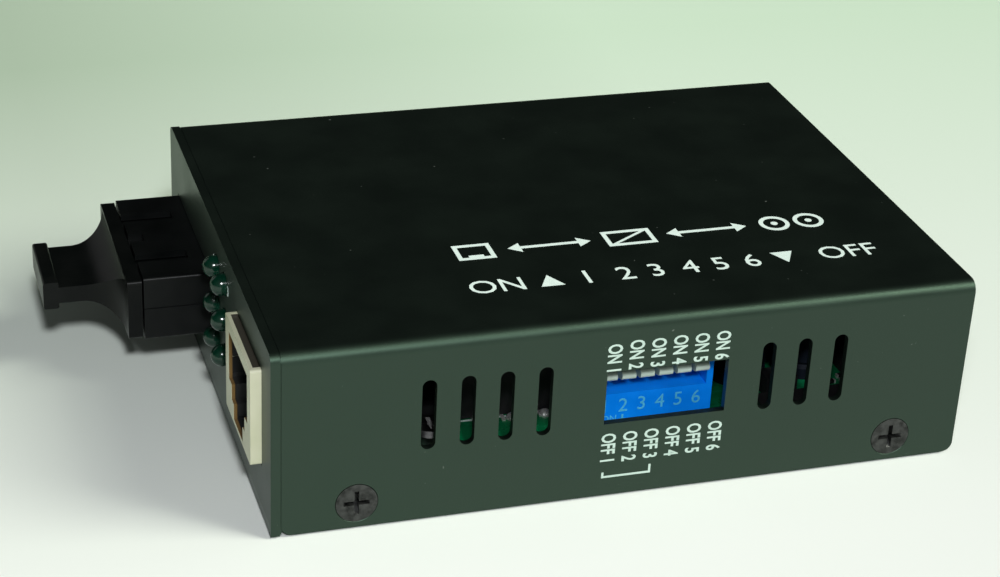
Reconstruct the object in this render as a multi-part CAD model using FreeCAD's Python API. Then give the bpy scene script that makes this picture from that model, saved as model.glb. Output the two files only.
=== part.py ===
import FreeCAD, Part
import math
import os

# Fibre media converter: a folded steel case with a copper port, six indicator lamps and a
# duplex fibre transceiver at one end, a power inlet at the other, and a bank of six piano
# switches behind a window in one long side. A double dust plug closes the fibre ports.
#
# Frame, in millimetres: the origin is the centre of the case's underside and +Z is up. The
# ports face -X, the switches face -Y and the power inlet faces +X.

V = FreeCAD.Vector
ALONG_X = V(1, 0, 0)
ALONG_Y = V(0, 1, 0)
ALONG_Z = V(0, 0, 1)

# Case
CASE_LENGTH = 94.0
CASE_WIDTH = 71.0
CASE_HEIGHT = 26.0
TRAY_SHEET = 1.2
COVER_SHEET = 1.0
COVER_FOLD_RADIUS = 1.6
TRAY_FOLD_RADIUS = 1.8
PANEL_CORNER_RADIUS = 1.2
FLAP_CORNER_RADIUS = 1.4
SHEET_GAP = 0.15
FLAP_FLOOR_GAP = 0.3
POWER_PANEL_SETBACK = 0.2

# Openings in the cover's long sides
SLOT_COUNT = 12
SLOT_PITCH = 5.04
SLOT_WIDTH = 1.9
SLOT_HEIGHT = 9.9
SLOT_CENTRE_Z = 15.45
SLOT_WINDOW_MARGIN = 2.5
WINDOW_LENGTH = 16.5
WINDOW_BOTTOM_Z = 11.0
WINDOW_TOP_Z = 18.6
WINDOW_OFFSET_X = 3.8

# Case screws: M3, countersunk at 90 degrees
M3_RADIUS = 1.46
M3_HOLE_RADIUS = 1.5
CASE_SCREW_HEAD_RADIUS = 2.7
CASE_SCREW_LENGTH = COVER_SHEET + SHEET_GAP + TRAY_SHEET + 0.35
CASE_SCREW_SPREAD = 73.45
CASE_SCREW_Z = 3.8
COUNTERSINK_CLEARANCE = 0.1
SCREW_TAB_LENGTH = 10.0
SCREW_TAB_HEIGHT = 8.0

# Circuit board and what carries it
BOARD_THICKNESS = 1.6
BOARD_PANEL_GAP = 0.8
BOARD_POWER_GAP = 1.1
BOARD_SIDE_INSET = 2.8
BOARD_SCREW_HOLE_RADIUS = 1.6
STANDOFF_HEIGHT = 4.8
STANDOFF_FLATS = 5.5
BOARD_SCREW_LENGTH = 5.0
BOARD_SCREW_HEAD_RADIUS = 2.75
BOARD_SCREW_HEAD_HEIGHT = 1.9
PIN_WIDTH = 0.5
PIN_HOLE_WIDTH = 0.9
PIN_BELOW_BOARD = 1.0

# Copper port
JACK_FROM_SIDE = 13.45
JACK_WIDTH = 15.9
JACK_HEIGHT = 13.6
JACK_DEPTH = 19.6
JACK_PROUD = 1.4
JACK_FRONT_WALL = 0.5
JACK_SHELL_WALL = 0.8
JACK_PLUG_WIDTH = 11.9
JACK_PLUG_HEIGHT = 7.0
JACK_FRONT_BAR = 1.7
JACK_ROOF_RECESS = 0.3
JACK_ROOF_WINDOW_START = 3.0
JACK_ROOF_WINDOW_LENGTH = 4.0
JACK_LATCH_WIDTHS = (8.4, 5.8)
JACK_LATCH_STEP = 2.2
JACK_PASSAGE_DEPTH = 14.0
JACK_GUIDE_RISE = 0.7
JACK_GUIDE_HEIGHT = 2.4
JACK_GUIDE_DEPTH = 2.0
JACK_CONTACTS = 8
JACK_CONTACT_PITCH = 1.02
JACK_CONTACT_FRONT = 4.5
JACK_CONTACT_BACK = 12.0
JACK_CONTACT_DROP = 2.4
JACK_CONTACT_THICKNESS = 0.35
PANEL_CLEARANCE = 0.15
INSERT_CLEARANCE = 0.05

# Indicator lamps
LAMP_RADIUS = 1.5
LAMP_PROUD = 2.0
LAMP_SEAT = 0.6
LAMP_COLUMN_PITCH = 5.4
LAMP_ROW_PITCH = 5.3
LAMP_FIRST_ROW = 2.8
LAMPS_FROM_SIDE = 31.9
LAMP_HOLDER_WIDTH = 5.0
LAMP_HOLDER_DEPTH = 6.5
LAMP_HOLDER_TOP_MARGIN = 2.3

# Duplex fibre transceiver
FIBRE_FROM_SIDE = 18.75
FIBRE_WIDTH = 25.5
FIBRE_HEIGHT = 9.3
FIBRE_LENGTH = 39.1
FIBRE_PROUD = 9.1
FIBRE_FOOT_HEIGHT = 0.6
FIBRE_SEAM_WIDTH = 0.18
FIBRE_SEAM_DEPTH = 0.15
FIBRE_CLIP_WIDTH = 1.2
FIBRE_CLIP_DROP = 1.6
PORT_PITCH = 12.7
PORT_WIDTH = 9.0
PORT_HEIGHT = 7.4
PORT_DEPTH = 12.0
KEYWAY_WIDTH = 2.4
KEYWAY_LENGTH = 7.0
MIDDLE_NOTCH_LENGTH = 2.0
BARREL_RADIUS = 2.1
BARREL_BORE_RADIUS = 1.26
BARREL_REACH = 6.5
BARREL_ROOT = 3.0
FIBRE_PINS = 9
FIBRE_POST_RADIUS = 0.75
BOARD_PIN_PITCH = 2.54

# Dust plug
PLUG_GAP = 0.25
PLUG_FLANGE_THICKNESS = 1.95
PLUG_FLANGE_HEIGHT = 8.75
PLUG_PRONG_CLEARANCE = 0.3
PLUG_PRONG_LENGTH = 10.0
PLUG_PRONG_BORE_RADIUS = 2.6
PLUG_RIM = 1.25
PLUG_RIM_TOP = 0.5
PLUG_WAIST_WIDTH = 12.5
PLUG_WAIST_THICKNESS = 2.4
PLUG_FLARE_LENGTH = 5.25
PLUG_LENGTH = 12.5
PLUG_LIP_LENGTH = 2.1
PLUG_LIP_HEIGHT = 4.0
PLUG_EDGE_RADIUS = 0.35

# Piano switches
SWITCH_COUNT = 6
SWITCH_PITCH = 2.54
SWITCH_END_MARGIN = 0.88
SWITCH_FROM_SIDE = 5.0
SWITCH_DEPTH = 9.6
SWITCH_HEIGHT = 10.0
SWITCH_FRONT_HEIGHT = 4.7
SWITCH_BAY_DEPTH = 3.3
SWITCH_SLOT_WIDTH = 2.2
SWITCH_ROW_SPACING = 7.62
LEVER_WIDTH = 1.9
LEVER_THICKNESS = 1.3
LEVER_REACH = 7.1
LEVER_REST_ANGLE = 12.3
LEVER_HUB_RADIUS = 1.25
LEVER_PIVOT_HEIGHT = 6.6
LEVER_PIVOT_DEPTH = 5.5
AXLE_RADIUS = 0.5
AXLE_CLEARANCE = 0.05

# Power inlet
INLET_FROM_SIDE = 17.5
INLET_WIDTH = 9.0
INLET_HEIGHT = 11.0
INLET_DEPTH = 13.5
INLET_BORE_Z = 6.5
INLET_BORE_RADIUS = 3.15
INLET_BORE_DEPTH = 9.5
INLET_NOSE_RADIUS = 3.9
INLET_PIN_RADIUS = 1.0
INLET_TAIL_THICKNESS = 0.5
INLET_TAIL_WIDTH = 1.5

# Places worked out from the sizes above
PANEL_X = -CASE_LENGTH / 2
PANEL_BACK_X = PANEL_X + TRAY_SHEET
END_X = CASE_LENGTH / 2
POWER_PANEL_X = END_X - POWER_PANEL_SETBACK
POWER_PANEL_BACK_X = POWER_PANEL_X - TRAY_SHEET
SIDE_Y = CASE_WIDTH / 2
TRAY_SIDE_Y = SIDE_Y - COVER_SHEET - SHEET_GAP
COVER_FRONT_X = PANEL_BACK_X + SHEET_GAP
COVER_CENTRE_X = (COVER_FRONT_X + END_X) / 2
SWITCH_CENTRE_X = COVER_CENTRE_X + WINDOW_OFFSET_X
BOARD_BOTTOM = TRAY_SHEET + STANDOFF_HEIGHT
BOARD_TOP = BOARD_BOTTOM + BOARD_THICKNESS
BOARD_FRONT_X = PANEL_BACK_X + BOARD_PANEL_GAP
BOARD_REAR_X = POWER_PANEL_BACK_X - BOARD_POWER_GAP
BOARD_SIDE_Y = SIDE_Y - BOARD_SIDE_INSET
PIN_BOTTOM = BOARD_BOTTOM - PIN_BELOW_BOARD
BOARD_SCREWS = (
    (PANEL_X + 22.4, -SIDE_Y + 7.6),
    (PANEL_X + 34.0, SIDE_Y - 7.6),
    (END_X - 8.5, -SIDE_Y + 7.6),
    (END_X - 8.5, SIDE_Y - 7.6),
)
CASE_SCREWS = [
    (COVER_CENTRE_X + end * CASE_SCREW_SPREAD / 2, side)
    for side in (-1, 1)
    for end in (-1, 1)
]
JACK_FRONT_X = PANEL_X - JACK_PROUD
JACK_REAR_X = JACK_FRONT_X + JACK_DEPTH
JACK_CENTRE_Y = -SIDE_Y + JACK_FROM_SIDE
JACK_TOP = BOARD_TOP + JACK_HEIGHT
JACK_PLUG_TOP = JACK_TOP - JACK_FRONT_BAR
JACK_PLUG_BOTTOM = JACK_PLUG_TOP - JACK_PLUG_HEIGHT
JACK_GUIDE_BOTTOM = JACK_PLUG_BOTTOM + JACK_GUIDE_RISE
LAMPS_Y = [
    -SIDE_Y + LAMPS_FROM_SIDE + step * LAMP_COLUMN_PITCH for step in (-0.5, 0.5)
]
LAMPS_Z = [BOARD_TOP + LAMP_FIRST_ROW + row * LAMP_ROW_PITCH for row in range(3)]
FIBRE_FRONT_X = PANEL_X - FIBRE_PROUD
FIBRE_REAR_X = FIBRE_FRONT_X + FIBRE_LENGTH
FIBRE_CENTRE_Y = SIDE_Y - FIBRE_FROM_SIDE
FIBRE_BOTTOM = BOARD_TOP + FIBRE_FOOT_HEIGHT
FIBRE_TOP = FIBRE_BOTTOM + FIBRE_HEIGHT
FIBRE_CENTRE_Z = (FIBRE_BOTTOM + FIBRE_TOP) / 2
PORTS_Y = [FIBRE_CENTRE_Y + step * PORT_PITCH for step in (-0.5, 0.5)]
PORT_BACK_X = FIBRE_FRONT_X + PORT_DEPTH
SWITCH_LENGTH = SWITCH_COUNT * SWITCH_PITCH + 2 * SWITCH_END_MARGIN
SWITCH_FRONT_Y = -SIDE_Y + SWITCH_FROM_SIDE
LEVER_PIVOT_Y = SWITCH_FRONT_Y + LEVER_PIVOT_DEPTH
LEVER_PIVOT_Z = BOARD_TOP + LEVER_PIVOT_HEIGHT
LEVERS_X = [
    SWITCH_CENTRE_X + (place - (SWITCH_COUNT - 1) / 2) * SWITCH_PITCH
    for place in range(SWITCH_COUNT)
]
INLET_CENTRE_Y = SIDE_Y - INLET_FROM_SIDE
INLET_FRONT_X = POWER_PANEL_BACK_X - 0.1
INLET_REAR_X = INLET_FRONT_X - INLET_DEPTH
INLET_CENTRE_Z = BOARD_TOP + INLET_BORE_Z


def block(x0, x1, y0, y1, z0, z1):
    """A box between two corners."""
    return Part.makeBox(x1 - x0, y1 - y0, z1 - z0, V(x0, y0, z0))


def rod(radius, start, direction, length):
    """A cylinder from a start point along a direction."""
    return Part.makeCylinder(radius, length, start, direction)


def prism(points, sweep):
    """A closed outline of points, swept along a vector."""
    outline = Part.makePolygon([V(*point) for point in points + points[:1]])
    return Part.Face(outline).extrude(sweep)


def joined(shapes):
    """One solid from pieces that meet, without leftover seams."""
    whole = shapes[0]
    for shape in shapes[1:]:
        whole = whole.fuse(shape)
    return whole.removeSplitter()


def aimed(shape, direction, place):
    """A shape modelled up the Z axis, turned to a direction and moved to its place."""
    turned = shape.copy()
    turned.Placement = FreeCAD.Placement(place, FreeCAD.Rotation(ALONG_Z, direction))
    return turned


def edges_along(shape, direction, chosen):
    """The straight edges along a direction whose midpoint passes a test."""
    found = []
    for edge in shape.Edges:
        if edge.Curve.TypeId != "Part::GeomLine":
            continue
        if abs(edge.tangentAt(edge.FirstParameter).dot(direction)) < 0.999:
            continue
        if chosen(edge.CenterOfMass):
            found.append(edge)
    return found


def slot_cutter(x, side):
    """An upright slot with round ends, through one long side of the cover."""
    radius = SLOT_WIDTH / 2
    half = SLOT_HEIGHT / 2 - radius
    centre = V(x, side * SIDE_Y - 2 * COVER_SHEET, SLOT_CENTRE_Z)
    left = V(-radius, 0, half)
    right = V(radius, 0, half)
    crown = V(0, 0, half + radius)
    outline = Part.Wire([
        Part.Arc(centre + left, centre + crown, centre + right).toShape(),
        Part.LineSegment(centre + right, centre - left).toShape(),
        Part.Arc(centre - left, centre - crown, centre - right).toShape(),
        Part.LineSegment(centre - right, centre + left).toShape(),
    ])
    return Part.Face(outline).extrude(V(0, 4 * COVER_SHEET, 0))


def slot_places():
    """The X of every slot in a full row, centred on the cover."""
    first = COVER_CENTRE_X - (SLOT_COUNT - 1) * SLOT_PITCH / 2
    return [first + step * SLOT_PITCH for step in range(SLOT_COUNT)]


def clears_window(x):
    """Whether a slot leaves enough metal beside the switch window."""
    reach = (WINDOW_LENGTH + SLOT_WIDTH) / 2 + SLOT_WINDOW_MARGIN
    return abs(x - SWITCH_CENTRE_X) > reach


def countersink(x, side):
    """The conical seat of one case screw, through the sheets behind it."""
    mouth = CASE_SCREW_HEAD_RADIUS + COUNTERSINK_CLEARANCE
    depth = mouth - M3_HOLE_RADIUS
    cone = Part.makeCone(mouth, M3_HOLE_RADIUS, depth)
    seat = cone.fuse(rod(M3_HOLE_RADIUS, V(0, 0, 0), ALONG_Z, 2 * CASE_SCREW_LENGTH))
    return aimed(seat, V(0, -side, 0), V(x, side * SIDE_Y, CASE_SCREW_Z))


def top_cover():
    """The cover: one sheet folded down over both long sides, with slots and a window."""
    outer = block(COVER_FRONT_X, END_X, -SIDE_Y, SIDE_Y, FLAP_FLOOR_GAP, CASE_HEIGHT)
    folds = edges_along(outer, ALONG_X, lambda at: at.z > CASE_HEIGHT - 0.01)
    outer = outer.makeFillet(COVER_FOLD_RADIUS, folds)
    corners = edges_along(outer, ALONG_Y, lambda at: at.z < FLAP_FLOOR_GAP + 0.01)
    outer = outer.makeFillet(FLAP_CORNER_RADIUS, corners)
    inside = SIDE_Y - COVER_SHEET
    inner_top = CASE_HEIGHT - COVER_SHEET
    hollow = block(COVER_FRONT_X - 1, END_X + 1, -inside, inside, -1, inner_top)
    inner_folds = edges_along(hollow, ALONG_X, lambda at: at.z > inner_top - 0.01)
    hollow = hollow.makeFillet(max(COVER_FOLD_RADIUS - COVER_SHEET, 0.2), inner_folds)
    cutters = [hollow]
    cutters.append(block(
        SWITCH_CENTRE_X - WINDOW_LENGTH / 2, SWITCH_CENTRE_X + WINDOW_LENGTH / 2,
        -SIDE_Y - 1, -inside + 1, WINDOW_BOTTOM_Z, WINDOW_TOP_Z,
    ))
    for x in filter(clears_window, slot_places()):
        cutters += [slot_cutter(x, side) for side in (-1, 1)]
    cutters += [countersink(x, side) for x, side in CASE_SCREWS]
    return outer.cut(cutters)


def port_openings():
    """The holes in the port panel: copper port, lamps, fibre transceiver and its clip notch."""
    x0 = PANEL_X - 1
    x1 = PANEL_BACK_X + 0.5
    gap = PANEL_CLEARANCE
    half_jack = JACK_WIDTH / 2 + gap
    half_fibre = FIBRE_WIDTH / 2 + gap
    clip_y = FIBRE_CENTRE_Y - FIBRE_WIDTH / 2
    holes = [
        block(x0, x1, JACK_CENTRE_Y - half_jack, JACK_CENTRE_Y + half_jack,
              BOARD_TOP - gap, JACK_TOP + gap),
        block(x0, x1, FIBRE_CENTRE_Y - half_fibre, FIBRE_CENTRE_Y + half_fibre,
              FIBRE_BOTTOM - gap, FIBRE_TOP + gap),
        block(x0, x1, clip_y, clip_y + FIBRE_CLIP_WIDTH,
              FIBRE_BOTTOM - FIBRE_CLIP_DROP, FIBRE_BOTTOM),
    ]
    for y in LAMPS_Y:
        for z in LAMPS_Z:
            holes.append(rod(LAMP_RADIUS + gap, V(x0, y, z), ALONG_X, x1 - x0))
    return holes


def bottom_tray():
    """The tray: floor, port panel and power panel from one folded sheet, with screw tabs."""
    side = TRAY_SIDE_Y
    outer = block(PANEL_X, POWER_PANEL_X, -side, side, 0, CASE_HEIGHT)
    folds = edges_along(outer, ALONG_Y, lambda at: at.z < 0.01)
    outer = outer.makeFillet(TRAY_FOLD_RADIUS, folds)
    hollow = block(
        PANEL_BACK_X, POWER_PANEL_BACK_X, -side - 1, side + 1, TRAY_SHEET, CASE_HEIGHT + 1
    )
    inner_folds = edges_along(hollow, ALONG_Y, lambda at: at.z < TRAY_SHEET + 0.01)
    hollow = hollow.makeFillet(max(TRAY_FOLD_RADIUS - TRAY_SHEET, 0.2), inner_folds)
    power_top = CASE_HEIGHT - COVER_SHEET - SHEET_GAP
    above_power = block(0, POWER_PANEL_X + 1, -side - 1, side + 1, power_top, CASE_HEIGHT + 1)
    sheet = outer.cut([hollow, above_power])
    crowns = edges_along(
        sheet, ALONG_X, lambda at: at.x > POWER_PANEL_BACK_X and at.z > power_top - 0.01
    )
    sheet = sheet.makeFillet(PANEL_CORNER_RADIUS, crowns)
    panel = block(PANEL_X, PANEL_BACK_X, -SIDE_Y, SIDE_Y, FLAP_FLOOR_GAP, CASE_HEIGHT)
    corners = edges_along(panel, ALONG_X, lambda at: at.z > CASE_HEIGHT - 0.01)
    panel = panel.makeFillet(PANEL_CORNER_RADIUS, corners)
    # The panel stands on the fold, so its middle is left to the folded sheet.
    panel = panel.cut(block(
        PANEL_X - 1, PANEL_BACK_X + 1, -side, side, 0, 2 * TRAY_FOLD_RADIUS
    ))
    tabs = []
    for x, end in CASE_SCREWS:
        y = sorted((end * side, end * (side - TRAY_SHEET)))
        tab = block(
            x - SCREW_TAB_LENGTH / 2, x + SCREW_TAB_LENGTH / 2, y[0], y[1], 0, SCREW_TAB_HEIGHT
        )
        crowns = edges_along(tab, ALONG_Y, lambda at: at.z > SCREW_TAB_HEIGHT - 0.01)
        tabs.append(tab.makeFillet(FLAP_CORNER_RADIUS, crowns))
    tray = joined([sheet, panel] + tabs)
    inlet_hole = rod(
        INLET_NOSE_RADIUS + PANEL_CLEARANCE, V(INLET_FRONT_X, INLET_CENTRE_Y, INLET_CENTRE_Z),
        ALONG_X, 2 * TRAY_SHEET,
    )
    cutters = port_openings() + [inlet_hole]
    cutters += [countersink(x, end) for x, end in CASE_SCREWS]
    return tray.cut(cutters)


def cross_recess(reach, depth, wing):
    """A cross-shaped driver recess that tapers down from the XY plane."""
    tip = reach / 3
    outline = [(-reach, 0), (reach, 0), (tip, -depth), (-tip, -depth)]
    first = prism([(x, -wing / 2, z) for x, z in outline], V(0, wing, 0))
    second = prism([(-wing / 2, x, z) for x, z in outline], V(wing, 0, 0))
    return first.fuse(second)


def case_screw():
    """A countersunk machine screw, its flat head at z = 0 and its thread below."""
    taper = CASE_SCREW_HEAD_RADIUS - M3_RADIUS
    head = Part.makeCone(M3_RADIUS, CASE_SCREW_HEAD_RADIUS, taper, V(0, 0, -taper))
    thread = rod(M3_RADIUS, V(0, 0, -CASE_SCREW_LENGTH), ALONG_Z, CASE_SCREW_LENGTH - taper)
    return joined([head, thread]).cut(cross_recess(1.7, 1.3, 0.6))


def board_screw():
    """A pan-head machine screw, the underside of its head at z = 0."""
    head = rod(BOARD_SCREW_HEAD_RADIUS, V(0, 0, 0), ALONG_Z, BOARD_SCREW_HEAD_HEIGHT)
    crown = [
        edge for edge in head.Edges
        if edge.CenterOfMass.z > BOARD_SCREW_HEAD_HEIGHT - 0.01
        and edge.Curve.TypeId == "Part::GeomCircle"
    ]
    head = head.makeChamfer(0.6, crown)
    thread = rod(M3_RADIUS, V(0, 0, -BOARD_SCREW_LENGTH), ALONG_Z, BOARD_SCREW_LENGTH)
    recess = cross_recess(1.5, 1.2, 0.6)
    recess.translate(V(0, 0, BOARD_SCREW_HEAD_HEIGHT))
    return joined([head, thread]).cut(recess)


def board_standoff():
    """A hexagonal spacer with a tapped bore, standing on the tray's floor."""
    corner = STANDOFF_FLATS / math.sqrt(3)
    turns = [math.radians(60 * step) for step in range(6)]
    outline = [(corner * math.cos(turn), corner * math.sin(turn), 0) for turn in turns]
    hexagon = prism(outline, V(0, 0, STANDOFF_HEIGHT))
    return hexagon.cut(rod(M3_HOLE_RADIUS, V(0, 0, -1), ALONG_Z, STANDOFF_HEIGHT + 2))


def jack_pin_places():
    """Two staggered rows of four pins under the back of the copper port."""
    places = []
    for step in range(JACK_CONTACTS):
        x = JACK_REAR_X - 3.0 - (step % 2) * BOARD_PIN_PITCH
        y = JACK_CENTRE_Y + (step - (JACK_CONTACTS - 1) / 2) * JACK_CONTACT_PITCH
        places.append((x, y))
    return places


def fibre_pin_places():
    """One row of pins across the back of the transceiver."""
    x = FIBRE_REAR_X - 2.5
    first = FIBRE_CENTRE_Y - (FIBRE_PINS - 1) * BOARD_PIN_PITCH / 2
    return [(x, first + step * BOARD_PIN_PITCH) for step in range(FIBRE_PINS)]


def switch_pin_places():
    """Two rows of pins under the switch block."""
    middle = SWITCH_FRONT_Y + SWITCH_DEPTH / 2
    return [
        (x, middle + row * SWITCH_ROW_SPACING / 2) for row in (-1, 1) for x in LEVERS_X
    ]


def pin(x, y, top):
    """A square board pin, from below the board up to a given height."""
    half = PIN_WIDTH / 2
    return block(x - half, x + half, y - half, y + half, PIN_BOTTOM, top)


def pins(places, top):
    """A group of board pins up to a given height."""
    return Part.makeCompound([pin(x, y, top) for x, y in places])


def inlet_tail_places():
    """The flat tails of the power inlet: centre pin, then side spring."""
    return [
        (INLET_REAR_X - INLET_TAIL_THICKNESS / 2 - 0.1, INLET_CENTRE_Y),
        (INLET_REAR_X + 3.0, INLET_CENTRE_Y),
    ]


def circuit_board():
    """The board, drilled for every pin, tail and screw."""
    board = block(
        BOARD_FRONT_X, BOARD_REAR_X, -BOARD_SIDE_Y, BOARD_SIDE_Y, BOARD_BOTTOM, BOARD_TOP
    )
    places = jack_pin_places() + fibre_pin_places() + switch_pin_places()
    places += [place for part in CAPACITORS for place in capacitor_lead_places(*part[:3])]
    places += crystal_lead_places()
    start = BOARD_BOTTOM - 1
    deep = BOARD_THICKNESS + 2
    half = PIN_HOLE_WIDTH / 2
    holes = [
        block(x - half, x + half, y - half, y + half, start, start + deep) for x, y in places
    ]
    holes += [
        rod(BOARD_SCREW_HOLE_RADIUS, V(x, y, start), ALONG_Z, deep) for x, y in BOARD_SCREWS
    ]
    for x, y in fibre_post_places():
        holes.append(rod(FIBRE_POST_RADIUS + 0.1, V(x, y, start), ALONG_Z, deep))
    for x, y in inlet_tail_places():
        half_x = INLET_TAIL_THICKNESS / 2 + 0.15
        half_y = INLET_TAIL_WIDTH / 2 + 0.15
        holes.append(block(x - half_x, x + half_x, y - half_y, y + half_y, start, start + deep))
    return board.cut(holes)


def plug_passage(x0, x1, spare):
    """The stepped way in for a modular plug, its latch side down, grown by a spare gap."""
    half = JACK_PLUG_WIDTH / 2 + spare
    steps = [block(
        x0, x1, JACK_CENTRE_Y - half, JACK_CENTRE_Y + half,
        JACK_PLUG_BOTTOM - spare, JACK_PLUG_TOP + spare,
    )]
    for level, width in enumerate(JACK_LATCH_WIDTHS):
        half = width / 2 + spare
        bottom = JACK_PLUG_BOTTOM - (level + 1) * JACK_LATCH_STEP
        steps.append(block(
            x0, x1, JACK_CENTRE_Y - half, JACK_CENTRE_Y + half, bottom - spare, JACK_PLUG_TOP
        ))
    return joined(steps)


def jack_cavity(grow):
    """The space inside the copper port's shell, behind its front wall."""
    half = JACK_WIDTH / 2 - JACK_SHELL_WALL + grow
    return block(
        JACK_FRONT_X + JACK_FRONT_WALL - grow, JACK_REAR_X + 1,
        JACK_CENTRE_Y - half, JACK_CENTRE_Y + half,
        BOARD_TOP + JACK_SHELL_WALL - grow, JACK_TOP - JACK_SHELL_WALL + grow,
    )


def jack_guides(grow):
    """The two blocks beside the plug, just inside the mouth."""
    inner = JACK_PLUG_WIDTH / 2 - grow
    outer = JACK_WIDTH / 2 - JACK_SHELL_WALL / 2
    guides = []
    for side in (-1, 1):
        y = sorted((JACK_CENTRE_Y + side * inner, JACK_CENTRE_Y + side * outer))
        guides.append(block(
            JACK_FRONT_X, JACK_FRONT_X + JACK_GUIDE_DEPTH + grow, y[0], y[1],
            JACK_GUIDE_BOTTOM - grow, JACK_GUIDE_BOTTOM + JACK_GUIDE_HEIGHT + grow,
        ))
    return guides


def rj45_housing():
    """The light shell of the copper port: open at the back, stepped mouth at the front."""
    half = JACK_WIDTH / 2
    shell = block(
        JACK_FRONT_X, JACK_REAR_X, JACK_CENTRE_Y - half, JACK_CENTRE_Y + half,
        BOARD_TOP, JACK_TOP,
    )
    corners = edges_along(shell, ALONG_X, lambda at: True)
    shell = shell.makeFillet(0.4, corners)
    shell = shell.cut([jack_cavity(0), plug_passage(JACK_FRONT_X - 1, JACK_REAR_X, 0)])
    shell = joined([shell] + jack_guides(0))
    # The roof is sunk behind the front wall and opens inside the case, and the floor is open
    # at the back for the pins.
    side = JACK_WIDTH / 2 - JACK_SHELL_WALL
    recess_x = JACK_FRONT_X + JACK_FRONT_WALL
    roof_x = JACK_FRONT_X + JACK_ROOF_WINDOW_START
    roof_recess = block(
        recess_x, roof_x, JACK_CENTRE_Y - side, JACK_CENTRE_Y + side,
        JACK_TOP - JACK_ROOF_RECESS, JACK_TOP + 1,
    )
    roof_way = block(
        roof_x, roof_x + JACK_ROOF_WINDOW_LENGTH, JACK_CENTRE_Y - side, JACK_CENTRE_Y + side,
        JACK_TOP - 2 * JACK_SHELL_WALL, JACK_TOP + 1,
    )
    pins_way = block(
        JACK_REAR_X - 7.0, JACK_REAR_X + 1, JACK_CENTRE_Y - 5.0, JACK_CENTRE_Y + 5.0,
        BOARD_TOP - 1, BOARD_TOP + 2 * JACK_SHELL_WALL,
    )
    return shell.cut([roof_recess, roof_way, pins_way])


def rj45_insert():
    """The dark contact block that fills the shell and lines the plug's way."""
    body = jack_cavity(-INSERT_CLEARANCE)
    body = body.common(block(
        JACK_FRONT_X, JACK_REAR_X - 0.2, JACK_CENTRE_Y - JACK_WIDTH, JACK_CENTRE_Y + JACK_WIDTH,
        0, CASE_HEIGHT,
    ))
    way = plug_passage(JACK_FRONT_X, JACK_FRONT_X + JACK_PASSAGE_DEPTH, 0.02)
    slots = []
    half = PIN_HOLE_WIDTH / 2
    for x, y in jack_pin_places():
        slots.append(block(
            x - half, x + half, y - half, y + half, 0, JACK_PLUG_BOTTOM - 2.0
        ))
    for step in range(JACK_CONTACTS):
        y = JACK_CENTRE_Y + (step - (JACK_CONTACTS - 1) / 2) * JACK_CONTACT_PITCH
        slots.append(block(
            JACK_FRONT_X + JACK_CONTACT_FRONT - 0.6, JACK_FRONT_X + JACK_CONTACT_BACK + 0.3,
            y - 0.32, y + 0.32, JACK_PLUG_TOP - 0.5, JACK_PLUG_TOP + 0.4,
        ))
    return body.cut([way] + jack_guides(INSERT_CLEARANCE) + slots)


def rj45_contacts():
    """Eight sprung contact wires, sloping down and back from the roof of the plug's way."""
    front = JACK_FRONT_X + JACK_CONTACT_FRONT
    back = JACK_FRONT_X + JACK_CONTACT_BACK
    top = JACK_PLUG_TOP - 0.1
    low = JACK_PLUG_TOP - JACK_CONTACT_DROP
    thick = JACK_CONTACT_THICKNESS
    wires = []
    for step in range(JACK_CONTACTS):
        y = JACK_CENTRE_Y + (step - (JACK_CONTACTS - 1) / 2) * JACK_CONTACT_PITCH - 0.2
        outline = [
            (front - 0.4, y, top), (front, y, top), (back, y, low), (back, y, low + thick),
            (front + 0.1, y, top + thick), (front - 0.4, y, top + thick),
        ]
        wires.append(prism(outline, V(0, 0.4, 0)))
    wires += [pin(x, y, JACK_PLUG_BOTTOM - 2.1) for x, y in jack_pin_places()]
    return Part.makeCompound(wires)


def lamp():
    """One lamp: round body and domed tip, pointing up the Z axis from z = 0."""
    dome_start = LAMP_SEAT + TRAY_SHEET + LAMP_PROUD - LAMP_RADIUS
    body = rod(LAMP_RADIUS, V(0, 0, 0), ALONG_Z, dome_start)
    dome = Part.makeSphere(LAMP_RADIUS, V(0, 0, dome_start), ALONG_Z, 0, 90, 360)
    return joined([body, dome])


def led_holder(y):
    """A black spacer on the board that carries three lamps, one above another."""
    x0 = PANEL_BACK_X + LAMP_SEAT
    half = LAMP_HOLDER_WIDTH / 2
    top = LAMPS_Z[-1] + LAMP_HOLDER_TOP_MARGIN
    body = block(x0, x0 + LAMP_HOLDER_DEPTH, y - half, y + half, BOARD_TOP, top)
    back = edges_along(
        body, ALONG_Y, lambda at: at.x > x0 + LAMP_HOLDER_DEPTH - 0.01 and at.z > top - 0.01
    )
    return body.makeFillet(1.5, back)


def fibre_post_places():
    """The two locating posts under the transceiver."""
    x = PANEL_X + 6.0
    return [(x, FIBRE_CENTRE_Y + side * FIBRE_WIDTH * 0.4) for side in (-1, 1)]


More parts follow.
